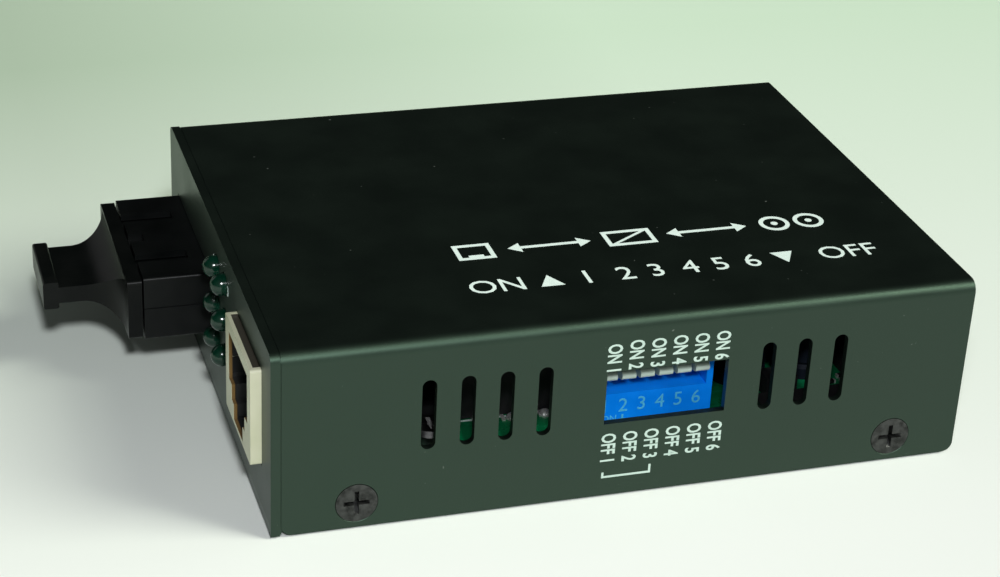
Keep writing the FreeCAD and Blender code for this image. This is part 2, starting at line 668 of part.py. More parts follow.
def transceiver_housing():
    """The duplex fibre transceiver: twin ports with open keyways, and feet and posts below."""
    half = FIBRE_WIDTH / 2
    body = block(
        FIBRE_FRONT_X, FIBRE_REAR_X, FIBRE_CENTRE_Y - half, FIBRE_CENTRE_Y + half,
        FIBRE_BOTTOM, FIBRE_TOP,
    )
    body = body.makeFillet(0.4, edges_along(body, ALONG_X, lambda at: True))
    cutters = []
    for y in PORTS_Y:
        half_port = PORT_WIDTH / 2
        cutters.append(block(
            FIBRE_FRONT_X - 1, PORT_BACK_X, y - half_port, y + half_port,
            FIBRE_CENTRE_Z - PORT_HEIGHT / 2, FIBRE_CENTRE_Z + PORT_HEIGHT / 2,
        ))
        cutters.append(block(
            FIBRE_FRONT_X - 1, FIBRE_FRONT_X + KEYWAY_LENGTH,
            y - KEYWAY_WIDTH / 2, y + KEYWAY_WIDTH / 2, FIBRE_CENTRE_Z, FIBRE_TOP + 1,
        ))
        cutters.append(rod(
            BARREL_RADIUS, V(PORT_BACK_X - 1, y, FIBRE_CENTRE_Z), ALONG_X, BARREL_ROOT + 1
        ))
    notch = KEYWAY_WIDTH / 2
    cutters.append(block(
        FIBRE_FRONT_X - 1, FIBRE_FRONT_X + MIDDLE_NOTCH_LENGTH,
        FIBRE_CENTRE_Y - notch, FIBRE_CENTRE_Y + notch, FIBRE_TOP - 1.0, FIBRE_TOP + 1,
    ))
    # A parting seam runs along both flanks at mid-height.
    for side in (-1, 1):
        y = sorted((
            FIBRE_CENTRE_Y + side * (half - FIBRE_SEAM_DEPTH), FIBRE_CENTRE_Y + side * (half + 1)
        ))
        cutters.append(block(
            FIBRE_FRONT_X - 1, FIBRE_REAR_X + 1, y[0], y[1],
            FIBRE_CENTRE_Z, FIBRE_CENTRE_Z + FIBRE_SEAM_WIDTH,
        ))
    body = body.cut(cutters)
    pieces = [body]
    for side in (-1, 1):
        y = FIBRE_CENTRE_Y + side * (half - 2.0)
        pieces.append(block(
            BOARD_FRONT_X + 1, FIBRE_REAR_X - 5.0, y - 0.75, y + 0.75,
            BOARD_TOP, FIBRE_BOTTOM + 0.2,
        ))
    for x, y in fibre_post_places():
        pieces.append(rod(
            FIBRE_POST_RADIUS, V(x, y, PIN_BOTTOM), ALONG_Z, FIBRE_BOTTOM + 0.2 - PIN_BOTTOM
        ))
    return joined(pieces)


def optical_barrel(y):
    """A ferrule sleeve: a turned tube seated in the back wall of one port."""
    start = V(PORT_BACK_X - BARREL_REACH, y, FIBRE_CENTRE_Z)
    tube = rod(BARREL_RADIUS, start, ALONG_X, BARREL_REACH + BARREL_ROOT)
    rim = [
        edge for edge in tube.Edges
        if edge.Curve.TypeId == "Part::GeomCircle" and abs(edge.CenterOfMass.x - start.x) < 0.01
    ]
    tube = tube.makeChamfer(0.3, rim)
    return tube.cut(rod(BARREL_BORE_RADIUS, start - V(1, 0, 0), ALONG_X, BARREL_REACH + 2))


def plug_grip():
    """The dust plug's finger grip: a blade that flares into the flange, seen as two outlines."""
    flange_x = FIBRE_FRONT_X - PLUG_GAP - PLUG_FLANGE_THICKNESS
    waist_x = flange_x - PLUG_FLARE_LENGTH
    end_x = FIBRE_FRONT_X - PLUG_GAP - PLUG_LENGTH

    def flare(wide, narrow, point):
        """A closed outline, symmetrical about the X axis, that narrows in a tangent arc."""
        rise = wide - narrow
        radius = (PLUG_FLARE_LENGTH ** 2 + rise ** 2) / (2 * rise)
        sweep = math.asin(PLUG_FLARE_LENGTH / radius)
        mid_x = waist_x + radius * math.sin(sweep / 2)
        mid_w = narrow + radius * (1 - math.cos(sweep / 2))
        upper = [
            Part.LineSegment(point(flange_x, -wide), point(flange_x, wide)).toShape(),
            Part.Arc(
                point(flange_x, wide), point(mid_x, mid_w), point(waist_x, narrow)
            ).toShape(),
            Part.LineSegment(point(waist_x, narrow), point(end_x, narrow)).toShape(),
            Part.LineSegment(point(end_x, narrow), point(end_x, -narrow)).toShape(),
            Part.LineSegment(point(end_x, -narrow), point(waist_x, -narrow)).toShape(),
            Part.Arc(
                point(waist_x, -narrow), point(mid_x, -mid_w), point(flange_x, -wide)
            ).toShape(),
        ]
        return Part.Face(Part.Wire(upper))

    low = V(0, FIBRE_CENTRE_Y, FIBRE_CENTRE_Z - FIBRE_HEIGHT)
    plan = flare(
        FIBRE_WIDTH / 2 - PLUG_RIM, PLUG_WAIST_WIDTH / 2, lambda x, w: low + V(x, w, 0)
    ).extrude(V(0, 0, 2 * FIBRE_HEIGHT))
    near = V(0, FIBRE_CENTRE_Y - FIBRE_WIDTH, FIBRE_CENTRE_Z)
    side = flare(
        PLUG_FLANGE_HEIGHT / 2 - PLUG_RIM_TOP, PLUG_WAIST_THICKNESS / 2,
        lambda x, w: near + V(x, 0, w),
    ).extrude(V(0, 2 * FIBRE_WIDTH, 0))
    blade = plan.common(side)
    half = PLUG_WAIST_WIDTH / 2
    lip = block(
        end_x, end_x + PLUG_LIP_LENGTH, FIBRE_CENTRE_Y - half, FIBRE_CENTRE_Y + half,
        FIBRE_CENTRE_Z - PLUG_LIP_HEIGHT / 2, FIBRE_CENTRE_Z + PLUG_LIP_HEIGHT / 2,
    )
    lip = lip.makeFillet(PLUG_EDGE_RADIUS, edges_along(lip, ALONG_Y, lambda at: True))
    return joined([blade, lip])


def dust_plug():
    """The double dust plug: flange, finger grip and two hollow prongs for the ports."""
    flange_x = FIBRE_FRONT_X - PLUG_GAP
    half = FIBRE_WIDTH / 2
    top = FIBRE_CENTRE_Z + PLUG_FLANGE_HEIGHT / 2
    flange = block(
        flange_x - PLUG_FLANGE_THICKNESS, flange_x, FIBRE_CENTRE_Y - half,
        FIBRE_CENTRE_Y + half, top - PLUG_FLANGE_HEIGHT, top,
    )
    flange = flange.makeFillet(0.5, edges_along(flange, ALONG_X, lambda at: True))
    pieces = [flange, plug_grip()]
    wide = PORT_WIDTH / 2 - PLUG_PRONG_CLEARANCE
    high = PORT_HEIGHT / 2 - PLUG_PRONG_CLEARANCE
    for y in PORTS_Y:
        prong = block(
            flange_x - 0.2, flange_x + PLUG_PRONG_LENGTH, y - wide, y + wide,
            FIBRE_CENTRE_Z - high, FIBRE_CENTRE_Z + high,
        )
        prong = prong.makeChamfer(1.0, edges_along(prong, ALONG_X, lambda at: True))
        pieces.append(prong)
    plug = joined(pieces)
    bores = [
        rod(PLUG_PRONG_BORE_RADIUS, V(flange_x, y, FIBRE_CENTRE_Z), ALONG_X,
            PLUG_PRONG_LENGTH + 1)
        for y in PORTS_Y
    ]
    return plug.cut(bores)


def dip_housing():
    """The switch block: low printed front, bay behind it, and one slot for each lever."""
    x0 = SWITCH_CENTRE_X - SWITCH_LENGTH / 2
    x1 = x0 + SWITCH_LENGTH
    y1 = SWITCH_FRONT_Y + SWITCH_DEPTH
    top = BOARD_TOP + SWITCH_HEIGHT
    body = block(x0, x1, SWITCH_FRONT_Y, y1, BOARD_TOP, top)
    front_top = BOARD_TOP + SWITCH_FRONT_HEIGHT
    cutters = [block(
        x0 + SWITCH_END_MARGIN, x1 - SWITCH_END_MARGIN, SWITCH_FRONT_Y - 1,
        SWITCH_FRONT_Y + SWITCH_BAY_DEPTH, front_top, top + 1,
    )]
    half = SWITCH_SLOT_WIDTH / 2
    slot_back = LEVER_PIVOT_Y + LEVER_HUB_RADIUS + 0.5
    slot_low = LEVER_PIVOT_Z - LEVER_HUB_RADIUS - 0.5
    for x in LEVERS_X:
        cutters.append(block(
            x - half, x + half, SWITCH_FRONT_Y + 1.0, slot_back, slot_low, top + 1
        ))
    cutters.append(rod(
        AXLE_RADIUS, V(x0 - 1, LEVER_PIVOT_Y, LEVER_PIVOT_Z), ALONG_X, SWITCH_LENGTH + 2
    ))
    return body.cut(cutters)


def dip_axle():
    """The steel pin that all the levers turn on, pressed into the block's end cheeks."""
    start = V(SWITCH_CENTRE_X - SWITCH_LENGTH / 2, LEVER_PIVOT_Y, LEVER_PIVOT_Z)
    return rod(AXLE_RADIUS, start, ALONG_X, SWITCH_LENGTH)


def dip_lever(x):
    """A piano lever in its raised position: hub, tapering arm and round fingertip."""
    half = LEVER_WIDTH / 2
    left = V(x - half, LEVER_PIVOT_Y, LEVER_PIVOT_Z)
    hub = rod(LEVER_HUB_RADIUS, left, ALONG_X, LEVER_WIDTH)
    thick = LEVER_THICKNESS / 2
    outline = [
        (0, -thick * 1.3), (-LEVER_REACH + thick, -thick),
        (-LEVER_REACH + thick, thick), (0, thick * 1.3),
    ]
    arm = prism([(left.x, left.y + y, left.z + z) for y, z in outline], V(LEVER_WIDTH, 0, 0))
    tip = rod(thick, left + V(0, -LEVER_REACH + thick, 0), ALONG_X, LEVER_WIDTH)
    lever = joined([hub, arm, tip])
    bore = rod(AXLE_RADIUS + AXLE_CLEARANCE, left - V(1, 0, 0), ALONG_X, LEVER_WIDTH + 2)
    lever = lever.cut(bore)
    lever.rotate(left, ALONG_X, -LEVER_REST_ANGLE)
    return lever


def dc_inlet():
    """The power inlet's moulded body, with a round nose through the panel."""
    half = INLET_WIDTH / 2
    axis = V(INLET_REAR_X, INLET_CENTRE_Y, INLET_CENTRE_Z)
    body = block(
        INLET_REAR_X, INLET_FRONT_X, INLET_CENTRE_Y - half, INLET_CENTRE_Y + half,
        BOARD_TOP, BOARD_TOP + INLET_HEIGHT,
    )
    nose = rod(INLET_NOSE_RADIUS, axis, ALONG_X, POWER_PANEL_X - INLET_REAR_X)
    shell = joined([body, nose])
    bore_start = V(POWER_PANEL_X - INLET_BORE_DEPTH, axis.y, axis.z)
    cutters = [
        rod(INLET_BORE_RADIUS, bore_start, ALONG_X, INLET_BORE_DEPTH + 1),
        rod(INLET_PIN_RADIUS + INSERT_CLEARANCE, axis - V(1, 0, 0), ALONG_X, INLET_DEPTH),
    ]
    spring_x = inlet_tail_places()[1][0]
    way = INLET_TAIL_WIDTH / 2 + 0.1
    cutters.append(block(
        spring_x - 0.4, POWER_PANEL_X - 3.0, axis.y - way, axis.y + way,
        axis.z - INLET_BORE_RADIUS - 0.6, axis.z,
    ))
    cutters.append(block(
        spring_x - 0.4, spring_x + 0.4, axis.y - way, axis.y + way, BOARD_TOP - 1, axis.z - 2
    ))
    return shell.cut(cutters)


def dc_inlet_pin():
    """The inlet's centre contact: a round pin with a flat tail down to the board."""
    tail_x, y = inlet_tail_places()[0]
    half = INLET_TAIL_THICKNESS / 2
    start = V(tail_x - half, y, INLET_CENTRE_Z)
    shaft = rod(INLET_PIN_RADIUS, start, ALONG_X, POWER_PANEL_X - 1.0 - start.x)
    tail = block(
        tail_x - half, tail_x + half, y - INLET_TAIL_WIDTH / 2, y + INLET_TAIL_WIDTH / 2,
        PIN_BOTTOM, INLET_CENTRE_Z + INLET_PIN_RADIUS,
    )
    return joined([shaft, tail])


def dc_inlet_spring():
    """The inlet's side contact: a leaf under the bore, bent down to the board."""
    tail_x, y = inlet_tail_places()[1]
    half = INLET_TAIL_THICKNESS / 2
    leaf_z = INLET_CENTRE_Z - INLET_BORE_RADIUS - 0.5
    z = leaf_z + INLET_TAIL_THICKNESS
    front = POWER_PANEL_X - 3.4
    outline = [
        (tail_x - half, PIN_BOTTOM), (tail_x + half, PIN_BOTTOM), (tail_x + half, leaf_z),
        (front, leaf_z + 0.3), (front, z + 0.3), (tail_x - half, z),
    ]
    return prism(
        [(x, y - INLET_TAIL_WIDTH / 2, height) for x, height in outline],
        V(0, INLET_TAIL_WIDTH, 0),
    )


# Parts on the board, each with its place: centre X, centre Y and its own sizes.
TRANSFORMER = (PANEL_X + 33.5, -SIDE_Y + 15.0, 15.0, 9.0, 7.0)
MAIN_CHIP = (6.0, -5.0, 20.0, 14.0, 2.7)
LEAD_PITCH = 1.27
LEAD_WIDTH = 0.5
LEAD_THICKNESS = 0.2
LEAD_REACH = 1.4
CAPACITORS = (
    (END_X - 26.5, -SIDE_Y + 14.5, 4.0, 11.5),
    (END_X - 16.8, -SIDE_Y + 14.5, 4.0, 11.5),
)
CRYSTAL = (END_X - 20.0, -6.0, 11.0, 4.6, 3.6)
REGULATOR = (END_X - 20.0, 5.0, 6.6, 3.6, 1.7)
CHOKE = (END_X - 30.0, 15.0, 7.3, 7.3, 4.2)


def board_part(x, y, length, width, height, lift=0.0, corner=0.4):
    """A moulded block on the board with rounded upright corners."""
    body = block(
        x - length / 2, x + length / 2, y - width / 2, y + width / 2,
        BOARD_TOP + lift, BOARD_TOP + lift + height,
    )
    return body.makeFillet(corner, edges_along(body, ALONG_Z, lambda at: True))


def chip_leads(x, y, length, width, count_x, count_y):
    """Flat leads that leave the sides of a chip and lie on the board."""
    half = LEAD_WIDTH / 2
    low = BOARD_TOP
    high = BOARD_TOP + LEAD_THICKNESS
    leads = []
    for side in (-1, 1):
        ends = sorted((y + side * (width / 2 - 0.5), y + side * (width / 2 + LEAD_REACH)))
        for place in range(count_x):
            at = x + (place - (count_x - 1) / 2) * LEAD_PITCH
            leads.append(block(at - half, at + half, ends[0], ends[1], low, high))
        ends = sorted((x + side * (length / 2 - 0.5), x + side * (length / 2 + LEAD_REACH)))
        for place in range(count_y):
            at = y + (place - (count_y - 1) / 2) * LEAD_PITCH
            leads.append(block(ends[0], ends[1], at - half, at + half, low, high))
    return Part.makeCompound(leads)


def capacitor_lead_places(x, y, radius):
    """The two leads of an upright capacitor."""
    return [(x - radius * 0.45, y), (x + radius * 0.45, y)]


def capacitor(x, y, radius, height):
    """An upright can with a rolled groove near its foot and two leads."""
    rim = radius - 0.4
    profile = [
        (0, 0), (radius, 0), (radius, 1.6), (rim, 2.1), (radius, 2.6),
        (radius, height - 0.4), (rim, height), (0, height),
    ]
    can = Part.Face(Part.makePolygon([V(r, 0, z) for r, z in profile + profile[:1]]))
    can = can.revolve(V(0, 0, 0), ALONG_Z, 360)
    can.translate(V(x, y, BOARD_TOP))
    leads = [
        pin(px, py, BOARD_TOP + 0.5) for px, py in capacitor_lead_places(x, y, radius)
    ]
    return joined([can] + leads)


def crystal_lead_places():
    """The two leads of the crystal can."""
    x, y = CRYSTAL[:2]
    return [(x - 2.44, y), (x + 2.44, y)]


def crystal():
    """The crystal's pressed can with its two leads."""
    x, y, length, width, height = CRYSTAL
    can = board_part(x, y, length, width, height, corner=width / 2 - 0.05)
    leads = [pin(px, py, BOARD_TOP + 0.5) for px, py in crystal_lead_places()]
    return joined([can] + leads)


def build_nodes():
    """Every sub-part by its name."""
    nodes = {
        "top_cover": top_cover(),
        "bottom_tray": bottom_tray(),
        "circuit_board": circuit_board(),
        "rj45_housing": rj45_housing(),
        "rj45_insert": rj45_insert(),
        "rj45_contacts": rj45_contacts(),
        "transceiver_housing": transceiver_housing(),
        "transceiver_pins": pins(fibre_pin_places(), FIBRE_BOTTOM),
        "transmit_barrel": optical_barrel(PORTS_Y[0]),
        "receive_barrel": optical_barrel(PORTS_Y[1]),
        "dust_plug": dust_plug(),
        "dip_housing": dip_housing(),
        "dip_axle": dip_axle(),
        "dip_pins": pins(switch_pin_places(), BOARD_TOP),
        "dc_inlet": dc_inlet(),
        "dc_inlet_pin": dc_inlet_pin(),
        "dc_inlet_spring": dc_inlet_spring(),
        "line_transformer": board_part(*TRANSFORMER, lift=LEAD_THICKNESS),
        "line_transformer_leads": chip_leads(*TRANSFORMER[:4], 8, 0),
        "main_chip": board_part(*MAIN_CHIP, lift=LEAD_THICKNESS),
        "main_chip_leads": chip_leads(*MAIN_CHIP[:4], 12, 8),
        "crystal": crystal(),
        "regulator": board_part(*REGULATOR),
        "power_choke": board_part(*CHOKE, corner=2.0),
    }
    for number, (x, side) in enumerate(CASE_SCREWS, start=1):
        place = V(x, side * SIDE_Y, CASE_SCREW_Z)
        nodes[f"case_screw_{number}"] = aimed(case_screw(), V(0, side, 0), place)
    for number, (x, y) in enumerate(BOARD_SCREWS, start=1):
        nodes[f"board_standoff_{number}"] = aimed(board_standoff(), ALONG_Z, V(x, y, TRAY_SHEET))
        nodes[f"board_screw_{number}"] = aimed(board_screw(), ALONG_Z, V(x, y, BOARD_TOP))
    for number, y in enumerate(LAMPS_Y, start=1):
        nodes[f"led_holder_{number}"] = led_holder(y)
    lamp_places = [(y, z) for y in LAMPS_Y for z in LAMPS_Z]
    for number, (y, z) in enumerate(lamp_places, start=1):
        seat = V(PANEL_BACK_X + LAMP_SEAT, y, z)
        nodes[f"led_{number}"] = aimed(lamp(), V(-1, 0, 0), seat)
    for number, x in enumerate(LEVERS_X, start=1):
        nodes[f"dip_lever_{number}"] = dip_lever(x)
    for number, part in enumerate(CAPACITORS, start=1):
        nodes[f"capacitor_{number}"] = capacitor(*part)
    return nodes


os.makedirs("parts", exist_ok=True)
for name, shape in build_nodes().items():
    shape.exportStep(f"parts/{name}.step")
    print(name, len(shape.Solids), "solid(s)", round(shape.Volume, 2), "mm3")
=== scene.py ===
# %% [markdown]
# # A fibre media converter, dressed on its CAD frame
# The object is a small steel box that joins a copper network lead to a pair of
# optical fibres. Its sizes were settled in CAD. This lesson keeps every CAD part
# where it is, gives each one a finish built from nodes, and adds what CAD leaves
# out: printed signs, solder, small parts on the board, and the light.

# %% Load the frame
import math

import bmesh
import bpy
from mathutils import Matrix, Vector


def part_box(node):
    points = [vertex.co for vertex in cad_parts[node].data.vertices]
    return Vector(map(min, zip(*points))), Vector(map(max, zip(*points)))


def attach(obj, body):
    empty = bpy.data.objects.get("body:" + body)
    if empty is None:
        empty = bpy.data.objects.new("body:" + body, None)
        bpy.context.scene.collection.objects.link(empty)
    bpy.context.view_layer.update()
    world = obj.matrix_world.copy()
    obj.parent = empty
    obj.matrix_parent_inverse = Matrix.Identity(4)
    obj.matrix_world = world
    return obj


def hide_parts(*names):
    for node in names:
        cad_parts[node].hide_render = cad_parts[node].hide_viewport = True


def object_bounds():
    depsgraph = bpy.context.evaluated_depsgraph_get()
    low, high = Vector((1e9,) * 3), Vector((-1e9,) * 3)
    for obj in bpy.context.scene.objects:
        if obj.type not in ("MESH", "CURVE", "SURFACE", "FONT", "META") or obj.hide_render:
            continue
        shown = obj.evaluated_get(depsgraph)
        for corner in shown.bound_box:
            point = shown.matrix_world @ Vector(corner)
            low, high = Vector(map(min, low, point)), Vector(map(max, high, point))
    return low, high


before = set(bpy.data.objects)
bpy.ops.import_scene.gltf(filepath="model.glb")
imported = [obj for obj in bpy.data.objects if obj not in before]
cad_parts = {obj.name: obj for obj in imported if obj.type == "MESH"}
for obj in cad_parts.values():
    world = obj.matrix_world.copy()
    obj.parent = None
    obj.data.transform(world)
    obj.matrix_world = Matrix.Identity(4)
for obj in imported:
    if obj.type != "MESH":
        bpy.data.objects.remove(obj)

cad_box = [list(corner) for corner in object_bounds()]
MM = 0.001
scene = bpy.context.scene

# %% [markdown]
# ## The camera
# A camera needs a place, a direction and a lens. Here the direction is given as
# two vectors, because the camera is rolled by three degrees and angles alone
# would hide that. Their cross product is the third axis.

# %% Camera
CAMERA_PLACE = Vector((-0.09542, -0.26775, 0.15901))
CAMERA_FORWARD = Vector((0.27866, 0.84293, -0.46023)).normalized()
CAMERA_RIGHT = Vector((0.95560, -0.29117, 0.04530))
LENS_MM = 81.65

lens = bpy.data.cameras.new("studio_camera")
lens.lens = LENS_MM
lens.sensor_width = 36.0
lens.clip_start = 0.01
lens.clip_end = 50.0
camera = bpy.data.objects.new("studio_camera", lens)
scene.collection.objects.link(camera)
camera_right = (CAMERA_RIGHT - CAMERA_RIGHT.dot(CAMERA_FORWARD) * CAMERA_FORWARD).normalized()
camera_up = camera_right.cross(CAMERA_FORWARD)
axes = Matrix((camera_right, camera_up, -CAMERA_FORWARD)).transposed()
camera.matrix_world = Matrix.Translation(CAMERA_PLACE) @ axes.to_4x4()
scene.camera = camera
scene.view_settings.view_transform = "Standard"
print("camera is", round(CAMERA_PLACE.length, 3), "m from the case")

# %% [markdown]
# ## Node helpers
# A finish is a small network of nodes, and the same few are needed again and
# again: object coordinates, a change of range, a blend and noise. They could be
# written out each time, but a short function for each keeps the finishes easy
# to read.

# %% Node helpers
def add_node(tree, kind, **settings):
    """Adds a node and sets its properties by name."""
    node = tree.nodes.new(kind)
    for name, value in settings.items():
        setattr(node, name, value)
    return node


def position(tree, scale=(1, 1, 1)):
    """Object coordinates, stretched by scale."""
    coordinates = add_node(tree, "ShaderNodeTexCoord")
    mapping = add_node(tree, "ShaderNodeMapping")
    mapping.inputs["Scale"].default_value = scale
    tree.links.new(coordinates.outputs["Object"], mapping.inputs["Vector"])
    return mapping.outputs["Vector"]


def axes_of(tree):
    """The X, Y and Z of the object coordinates, each as an output."""
    split = add_node(tree, "ShaderNodeSeparateXYZ")
    tree.links.new(position(tree), split.inputs["Vector"])
    return split.outputs


def spread(tree, value, low, high, to_low=0.0, to_high=1.0):
    """Maps a value from one range to another, without leaving the second."""
    node = add_node(tree, "ShaderNodeMapRange")
    node.inputs["From Min"].default_value = low
    node.inputs["From Max"].default_value = high
    node.inputs["To Min"].default_value = to_low
    node.inputs["To Max"].default_value = to_high
    tree.links.new(value, node.inputs["Value"])
    return node.outputs["Result"]


def blend_colours(tree, factor, first, second):
    """Mixes two colours; each is a colour tuple or another node's output."""
    node = add_node(tree, "ShaderNodeMix", data_type="RGBA")
    tree.links.new(factor, node.inputs["Factor"])
    for socket, colour in ((node.inputs[6], first), (node.inputs[7], second)):
        if isinstance(colour, bpy.types.NodeSocket):
            tree.links.new(colour, socket)
        else:
            socket.default_value = (*colour, 1.0)
    return node.outputs[2]


def noise(tree, size_mm, detail=2.0, stretch=(1, 1, 1)):
    """Soft noise whose blotches are about size_mm across."""
    node = add_node(tree, "ShaderNodeTexNoise")
    node.inputs["Scale"].default_value = 1.0 / (size_mm * MM)
    node.inputs["Detail"].default_value = detail
    tree.links.new(position(tree, stretch), node.inputs["Vector"])
    return node.outputs["Fac"]


print("nodes count in metres, so a millimetre is", MM)

# %% [markdown]
# ## Floor, world and lamps
# The floor is pale in front. Towards the back it is painted a darker green grey,
# and darker still at the far left: painted shade where the light falls off. An
# image of a table top could show that. Two ramps, one on Y and one on X, do it
# with two blends, and they stay smooth however near the camera comes.

# %% Floor
FLOOR_HALF = 6.0
FLOOR_DROP = 0.05 * MM
FLOOR_NEAR = (0.885, 0.905, 0.88)
FLOOR_FAR_SHADE = (0.69, 0.85, 0.68)
FLOOR_FAR_LEFT_SHADE = (0.45, 0.555, 0.435)
FAR_RAMP = (-0.05, 0.125)
LEFT_RAMP = (0.05, -0.06)

floor_mesh = bpy.data.meshes.new("floor")
floor_corners = [(-FLOOR_HALF, -FLOOR_HALF, 0), (FLOOR_HALF, -FLOOR_HALF, 0),
                 (FLOOR_HALF, FLOOR_HALF, 0), (-FLOOR_HALF, FLOOR_HALF, 0)]
floor_mesh.from_pydata(floor_corners, [], [(0, 1, 2, 3)])
floor = bpy.data.objects.new("floor", floor_mesh)
scene.collection.objects.link(floor)
floor.location.z = cad_box[0][2] - FLOOR_DROP

paper = bpy.data.materials.new("paper_floor")
paper.use_nodes = True
tree = paper.node_tree
shader = tree.nodes["Principled BSDF"]
away = spread(tree, axes_of(tree)["Y"], *FAR_RAMP)
left = spread(tree, axes_of(tree)["X"], *LEFT_RAMP)
# Painted shade: the floor darkens towards the back and darker still at the far left.
far_shade = blend_colours(tree, left, FLOOR_FAR_SHADE, FLOOR_FAR_LEFT_SHADE)
floor_shade = blend_colours(tree, away, FLOOR_NEAR, far_shade)
tree.links.new(floor_shade, shader.inputs["Base Color"])
shader.inputs["Roughness"].default_value = 0.85
shader.inputs["Specular IOR Level"].default_value = 0.1
floor_mesh.materials.append(paper)
print("floor is", 2 * FLOOR_HALF, "m wide")

# %% [markdown]
# Black paint shows its surroundings more than its own colour. The side of the
# case faces the pale floor in front of it and picks up a soft green grey, while
# the lid looks towards a dark room and stays nearly black. A room could be
# modelled for that. One blend along Y is enough, dim in front and dark behind.

# %% World
WORLD_FRONT = (0.15, 0.17, 0.16)
WORLD_DARK = (0.010, 0.011, 0.010)

world = bpy.data.worlds.new("room")
scene.world = world
world.use_nodes = True
tree = world.node_tree
background = tree.nodes["Background"]
direction = add_node(tree, "ShaderNodeTexCoord")
split = add_node(tree, "ShaderNodeSeparateXYZ")
tree.links.new(direction.outputs["Generated"], split.inputs["Vector"])
ahead = spread(tree, split.outputs["Y"], 0.15, -0.85)
glow = blend_colours(tree, ahead, WORLD_DARK, WORLD_FRONT)
tree.links.new(glow, background.inputs["Color"])
background.inputs["Strength"].default_value = 1.0
print("world goes from", WORLD_FRONT, "to", WORLD_DARK)

# %% [markdown]
# A lamp in front casts the crisp shadow, and a wide one on the right, like a
# window, fills it. One more on the right runs along the lid's long fold, a weak
# one behind shows the far side, and a small one beside the camera reaches
# through the slots to the board. The large work is done by sun lamps, which are
# equally strong everywhere. The two area lamps stay near, because they fade.

# %% Lamps
COOL = (0.95, 0.97, 1.0)
PLAIN = (1.0, 1.0, 1.0)
LEAFY = (0.97, 1.0, 0.87)
PALE_LEAFY = (0.97, 1.0, 0.88)
NEAR_LAMPS = {
    # place, watts, width in metres, colour
    "near_lamp": ((-0.087, -0.252, 0.213), 0.25, 0.028, COOL),
    "fill_lamp": ((-0.35, 0.45, 0.22), 0.12, 0.35, PLAIN),
}
FAR_LAMPS = {
    # direction, strength, softness in degrees, colour
    "front_lamp": ((-0.11, -1.28, 1.0), 1.55, 5, COOL),
    "window_light": ((0.80, -0.40, 0.66), 2.0, 28, LEAFY),
    "ceiling_light": ((0.50, -0.43, 0.76), 0.55, 14, PALE_LEAFY),
}
case_middle = sum(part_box("top_cover"), Vector()) / 2


def hang(name, kind, energy, colour, shining):
    """A lamp of a kind whose light goes the way of the vector shining."""
    lamp = bpy.data.lights.new(name, kind)
    lamp.energy = energy
    lamp.color = colour
    light = bpy.data.objects.new(name, lamp)
    light.rotation_mode = "QUATERNION"
    light.rotation_quaternion = shining.to_track_quat("-Z", "Y")
    scene.collection.objects.link(light)
    return light


for name, (place, watts, width, colour) in NEAR_LAMPS.items():
    light = hang(name, "AREA", watts, colour, case_middle - Vector(place))
    light.location = place
    light.data.shape = "DISK"
    light.data.size = width
    light.visible_camera = False
for name, (towards, strength, softness, colour) in FAR_LAMPS.items():
    light = hang(name, "SUN", strength, colour, -Vector(towards))
    light.data.angle = math.radians(softness)
print("lamps:", *NEAR_LAMPS, *FAR_LAMPS)

# %% [markdown]
# ## Finishes
# Every finish starts the same way: a colour that is never quite even, a fine
# grain that bends the light, and gloss that changes a little from place to
# place. One function builds that, and each finish then says how coarse and how
# strong its own grain is. Fixed values go straight on the shader's sockets.

# %% A finish with grain
GRAIN_HEIGHT = 0.05 * MM


def finish(name, colour, second, rough, blotch_mm=6.0, grain_mm=0.4, grain=0.1,
           metal=0.0, specular=0.5, stretch=(1, 1, 1)):
    """A material of two close colours, rough from low to high, with fine grain."""
    material = bpy.data.materials.new(name)
    material.use_nodes = True
    tree = material.node_tree
    shader = tree.nodes["Principled BSDF"]
    shader.inputs["Metallic"].default_value = metal
    shader.inputs["Specular IOR Level"].default_value = specular
    blotches = noise(tree, blotch_mm, detail=4.0, stretch=stretch)
    even = spread(tree, blotches, 0.35, 0.65)
    tree.links.new(blend_colours(tree, even, colour, second), shader.inputs["Base Color"])
    tree.links.new(spread(tree, blotches, 0.3, 0.7, *rough), shader.inputs["Roughness"])
    bump = add_node(tree, "ShaderNodeBump")
    bump.inputs["Strength"].default_value = grain
    bump.inputs["Distance"].default_value = GRAIN_HEIGHT
    tree.links.new(noise(tree, grain_mm, stretch=stretch), bump.inputs["Height"])
    tree.links.new(bump.outputs["Normal"], shader.inputs["Normal"])
    return material


print("grain stands at most", GRAIN_HEIGHT / MM, "mm high")

# %% [markdown]
# The case is sheet steel under satin black paint, with a few pale specks of dust
# on it. The specks could be painted by hand. Noise places them without a
# picture: only its highest peaks are kept, and a second colour is laid over the
# paint there. The case's screws are blackened steel, so they shine a little.

# %% Black paint and black screws
def shader_of(material):
    """The shader that every finish ends in."""
    return material.node_tree.nodes["Principled BSDF"]


def colour_link(material):
    """The output that now feeds the colour, so that a pattern can go over it."""
    return shader_of(material).inputs["Base Color"].links[0].from_socket


def overpaint(material, mask, colour):
    """Lays a colour over a finish, as far as the mask says."""
    tree = material.node_tree
    painted = blend_colours(tree, mask, colour_link(material), colour)
    tree.links.new(painted, shader_of(material).inputs["Base Color"])


case_paint = finish("satin_black_paint", (0.0020, 0.0028, 0.0026), (0.0028, 0.0038, 0.0034),
                    (0.40, 0.46), blotch_mm=9.0, grain_mm=0.32, grain=0.22, specular=0.75)
shader_of(case_paint).inputs["Specular Tint"].default_value = (0.62, 1.0, 0.74, 1.0)
DUST = (0.25, 0.27, 0.25)
DUST_PEAKS = (0.80, 0.84)
DUST_COVER = 0.35
dust = noise(case_paint.node_tree, 0.9, detail=1.0)
specks = spread(case_paint.node_tree, dust, *DUST_PEAKS, 0.0, DUST_COVER)
overpaint(case_paint, specks, DUST)

